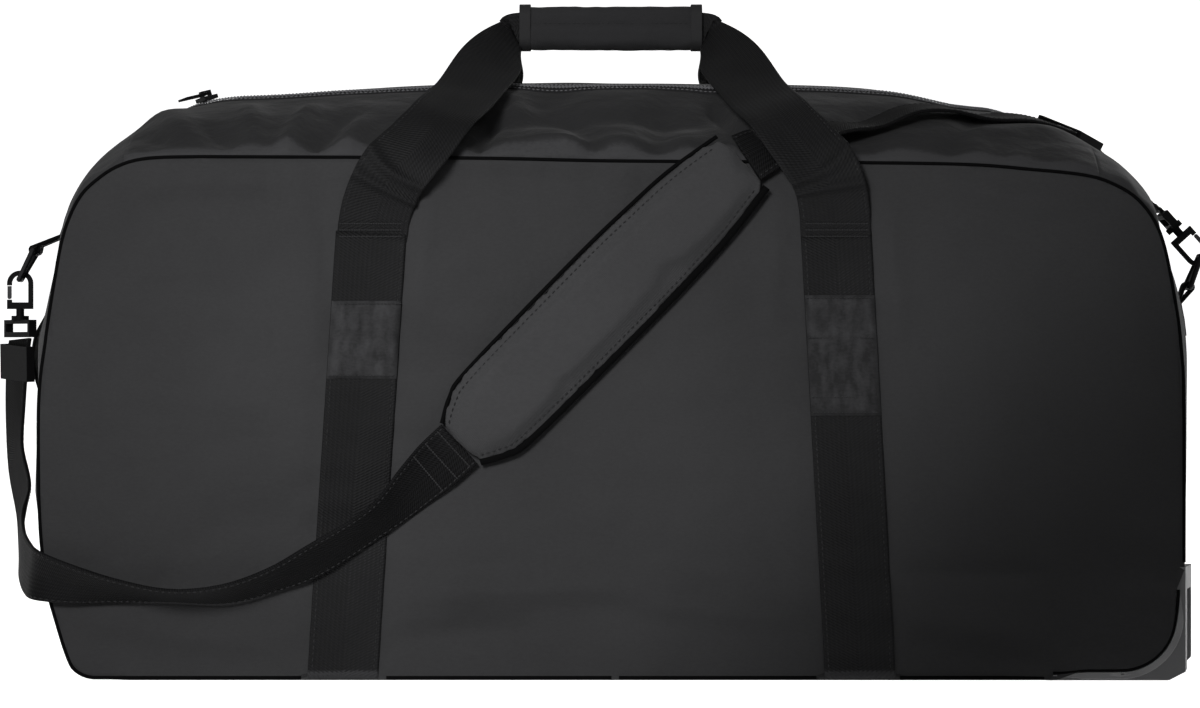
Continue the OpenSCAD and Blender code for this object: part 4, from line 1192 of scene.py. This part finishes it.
# ---- CAD pieces that stay, with their materials ----
KEPT = {
    MOULDING: ("wheel_housing_front", "wheel_housing_rear"),
    STEEL: ("housing_screws", "axle_front", "axle_rear"),
    TYRE: ("wheel_front_tyre", "wheel_rear_tyre"),
    HUB: ("wheel_front_hub", "wheel_rear_hub"),
    BOARD: ("base_board",),
    RING: ("d_ring_left", "d_ring_right"),
    HARDWARE: ("snap_hook_left", "snap_hook_right", "hook_swivel_left", "hook_swivel_right",
               "strap_slider_left", "zip_pull_side", "zip_pull_front"),
    ZIP_METAL: ("hook_gate_left", "hook_gate_right", "zip_slider_side", "zip_slider_front"),
}
for material, names in KEPT.items():
    for name in names:
        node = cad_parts[name]
        for place in node.material_slots:
            place.material = material
        if material not in (TYRE, HUB):
            modifier(node, "BEVEL", width=0.5 * MM, segments=2, limit_method="ANGLE",
                     angle_limit=math.radians(40))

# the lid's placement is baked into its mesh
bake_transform(lid)


# ---- stage, lights and camera ----
def glow(name, share=1.0):
    n = Nodes(name, 1.0, (share, share, share))
    n.feed(n.shader, {"Emission Color": (1, 1, 1, 1), "Emission Strength": share})
    return n.material


def stage_sheet(name, verts, material, **seen):
    """A single flat face of the stage, hidden from the rays that are named."""
    obj = mesh_object(name, verts, [tuple(range(len(verts)))], material)
    for kind, value in seen.items():
        setattr(obj, f"visible_{kind}", value)
    return obj


def lamp(name, kind, place, aim, power, **settings):
    light = bpy.data.lights.new(name, kind)
    light.energy = power
    for key, value in settings.items():
        setattr(light, key, value)
    obj = add_object(name, light)
    obj.location = place
    obj.rotation_euler = (Vector(aim) - Vector(place)).to_track_quat("-Z", "Y").to_euler()
    return obj


def stage():
    """Pale floor, white backdrop far behind, soft lights, and a flag."""
    n = Nodes("pale_floor", 0.9, (0.9, 0.9, 0.9), specular=0.1)
    n.paint(n.noise(n.coords(), 400.0), 0.99, 1.0)
    square = ((-15000, -15000), (15000, -15000), (15000, 15000), (-15000, 15000))
    floor = stage_sheet("floor", [(x, y, 0) for x, y in square], n.material, diffuse=False)
    lit = bpy.data.collections.new("lit_floor")
    lit.objects.link(floor)
    lamp("key", "SPOT", (-0.8, -3.1, 1.2), (-0.16, -0.2, 0.28), 360, shadow_soft_size=0.45,
         spot_size=math.radians(26), spot_blend=1.0)
    lamp("back_fill", "AREA", (1.8, 3.0, 1.6), (0, 0, 0.2), 22, size=1.6)
    lamp("end_fill", "AREA", (3.2, 0.8, 1.2), (0.3, 0, 0.2), 3, size=1.2)
    sun = lamp("floor_sun", "SUN", (0, 0, 5), (0, 0.3, 0), 4.2, use_shadow=False)
    sun.light_linking.receiver_collection = lit
    # the flag keeps the key light off the bottom corner at the wheel end
    corners = ((-127, 265), (172, 527), (1000, 527), (1000, 20), (-127, 20))
    stage_sheet("key_flag", [(x, -930, z) for x, z in corners], glow("flag_black", 0.0), camera=False,
                glossy=False)
    world = bpy.data.worlds.new("studio")
    world.use_nodes = True
    world.node_tree.nodes["Background"].inputs[0].default_value = (1, 1, 1, 1)
    world.node_tree.nodes["Background"].inputs[1].default_value = 0.18
    bpy.context.scene.world = world
    corners = ((-15000, -10), (15000, -10), (15000, 12000), (-15000, 12000))
    stage_sheet("backdrop", [(x, 14000, z) for x, z in corners], glow("backdrop_white"), diffuse=False,
                glossy=False)


def camera():
    data = bpy.data.cameras.new("camera")
    data.sensor_width = 36
    data.lens = 161.3
    data.clip_end = 60
    cam = add_object("camera", data)
    cam.location = (-0.008, -4.0, 0.2305)
    cam.rotation_euler = (math.radians(90), 0, 0)
    bpy.context.scene.camera = cam


stage()
camera()
bpy.context.scene.view_settings.view_transform = "Standard"
bpy.context.scene.view_settings.look = "None"
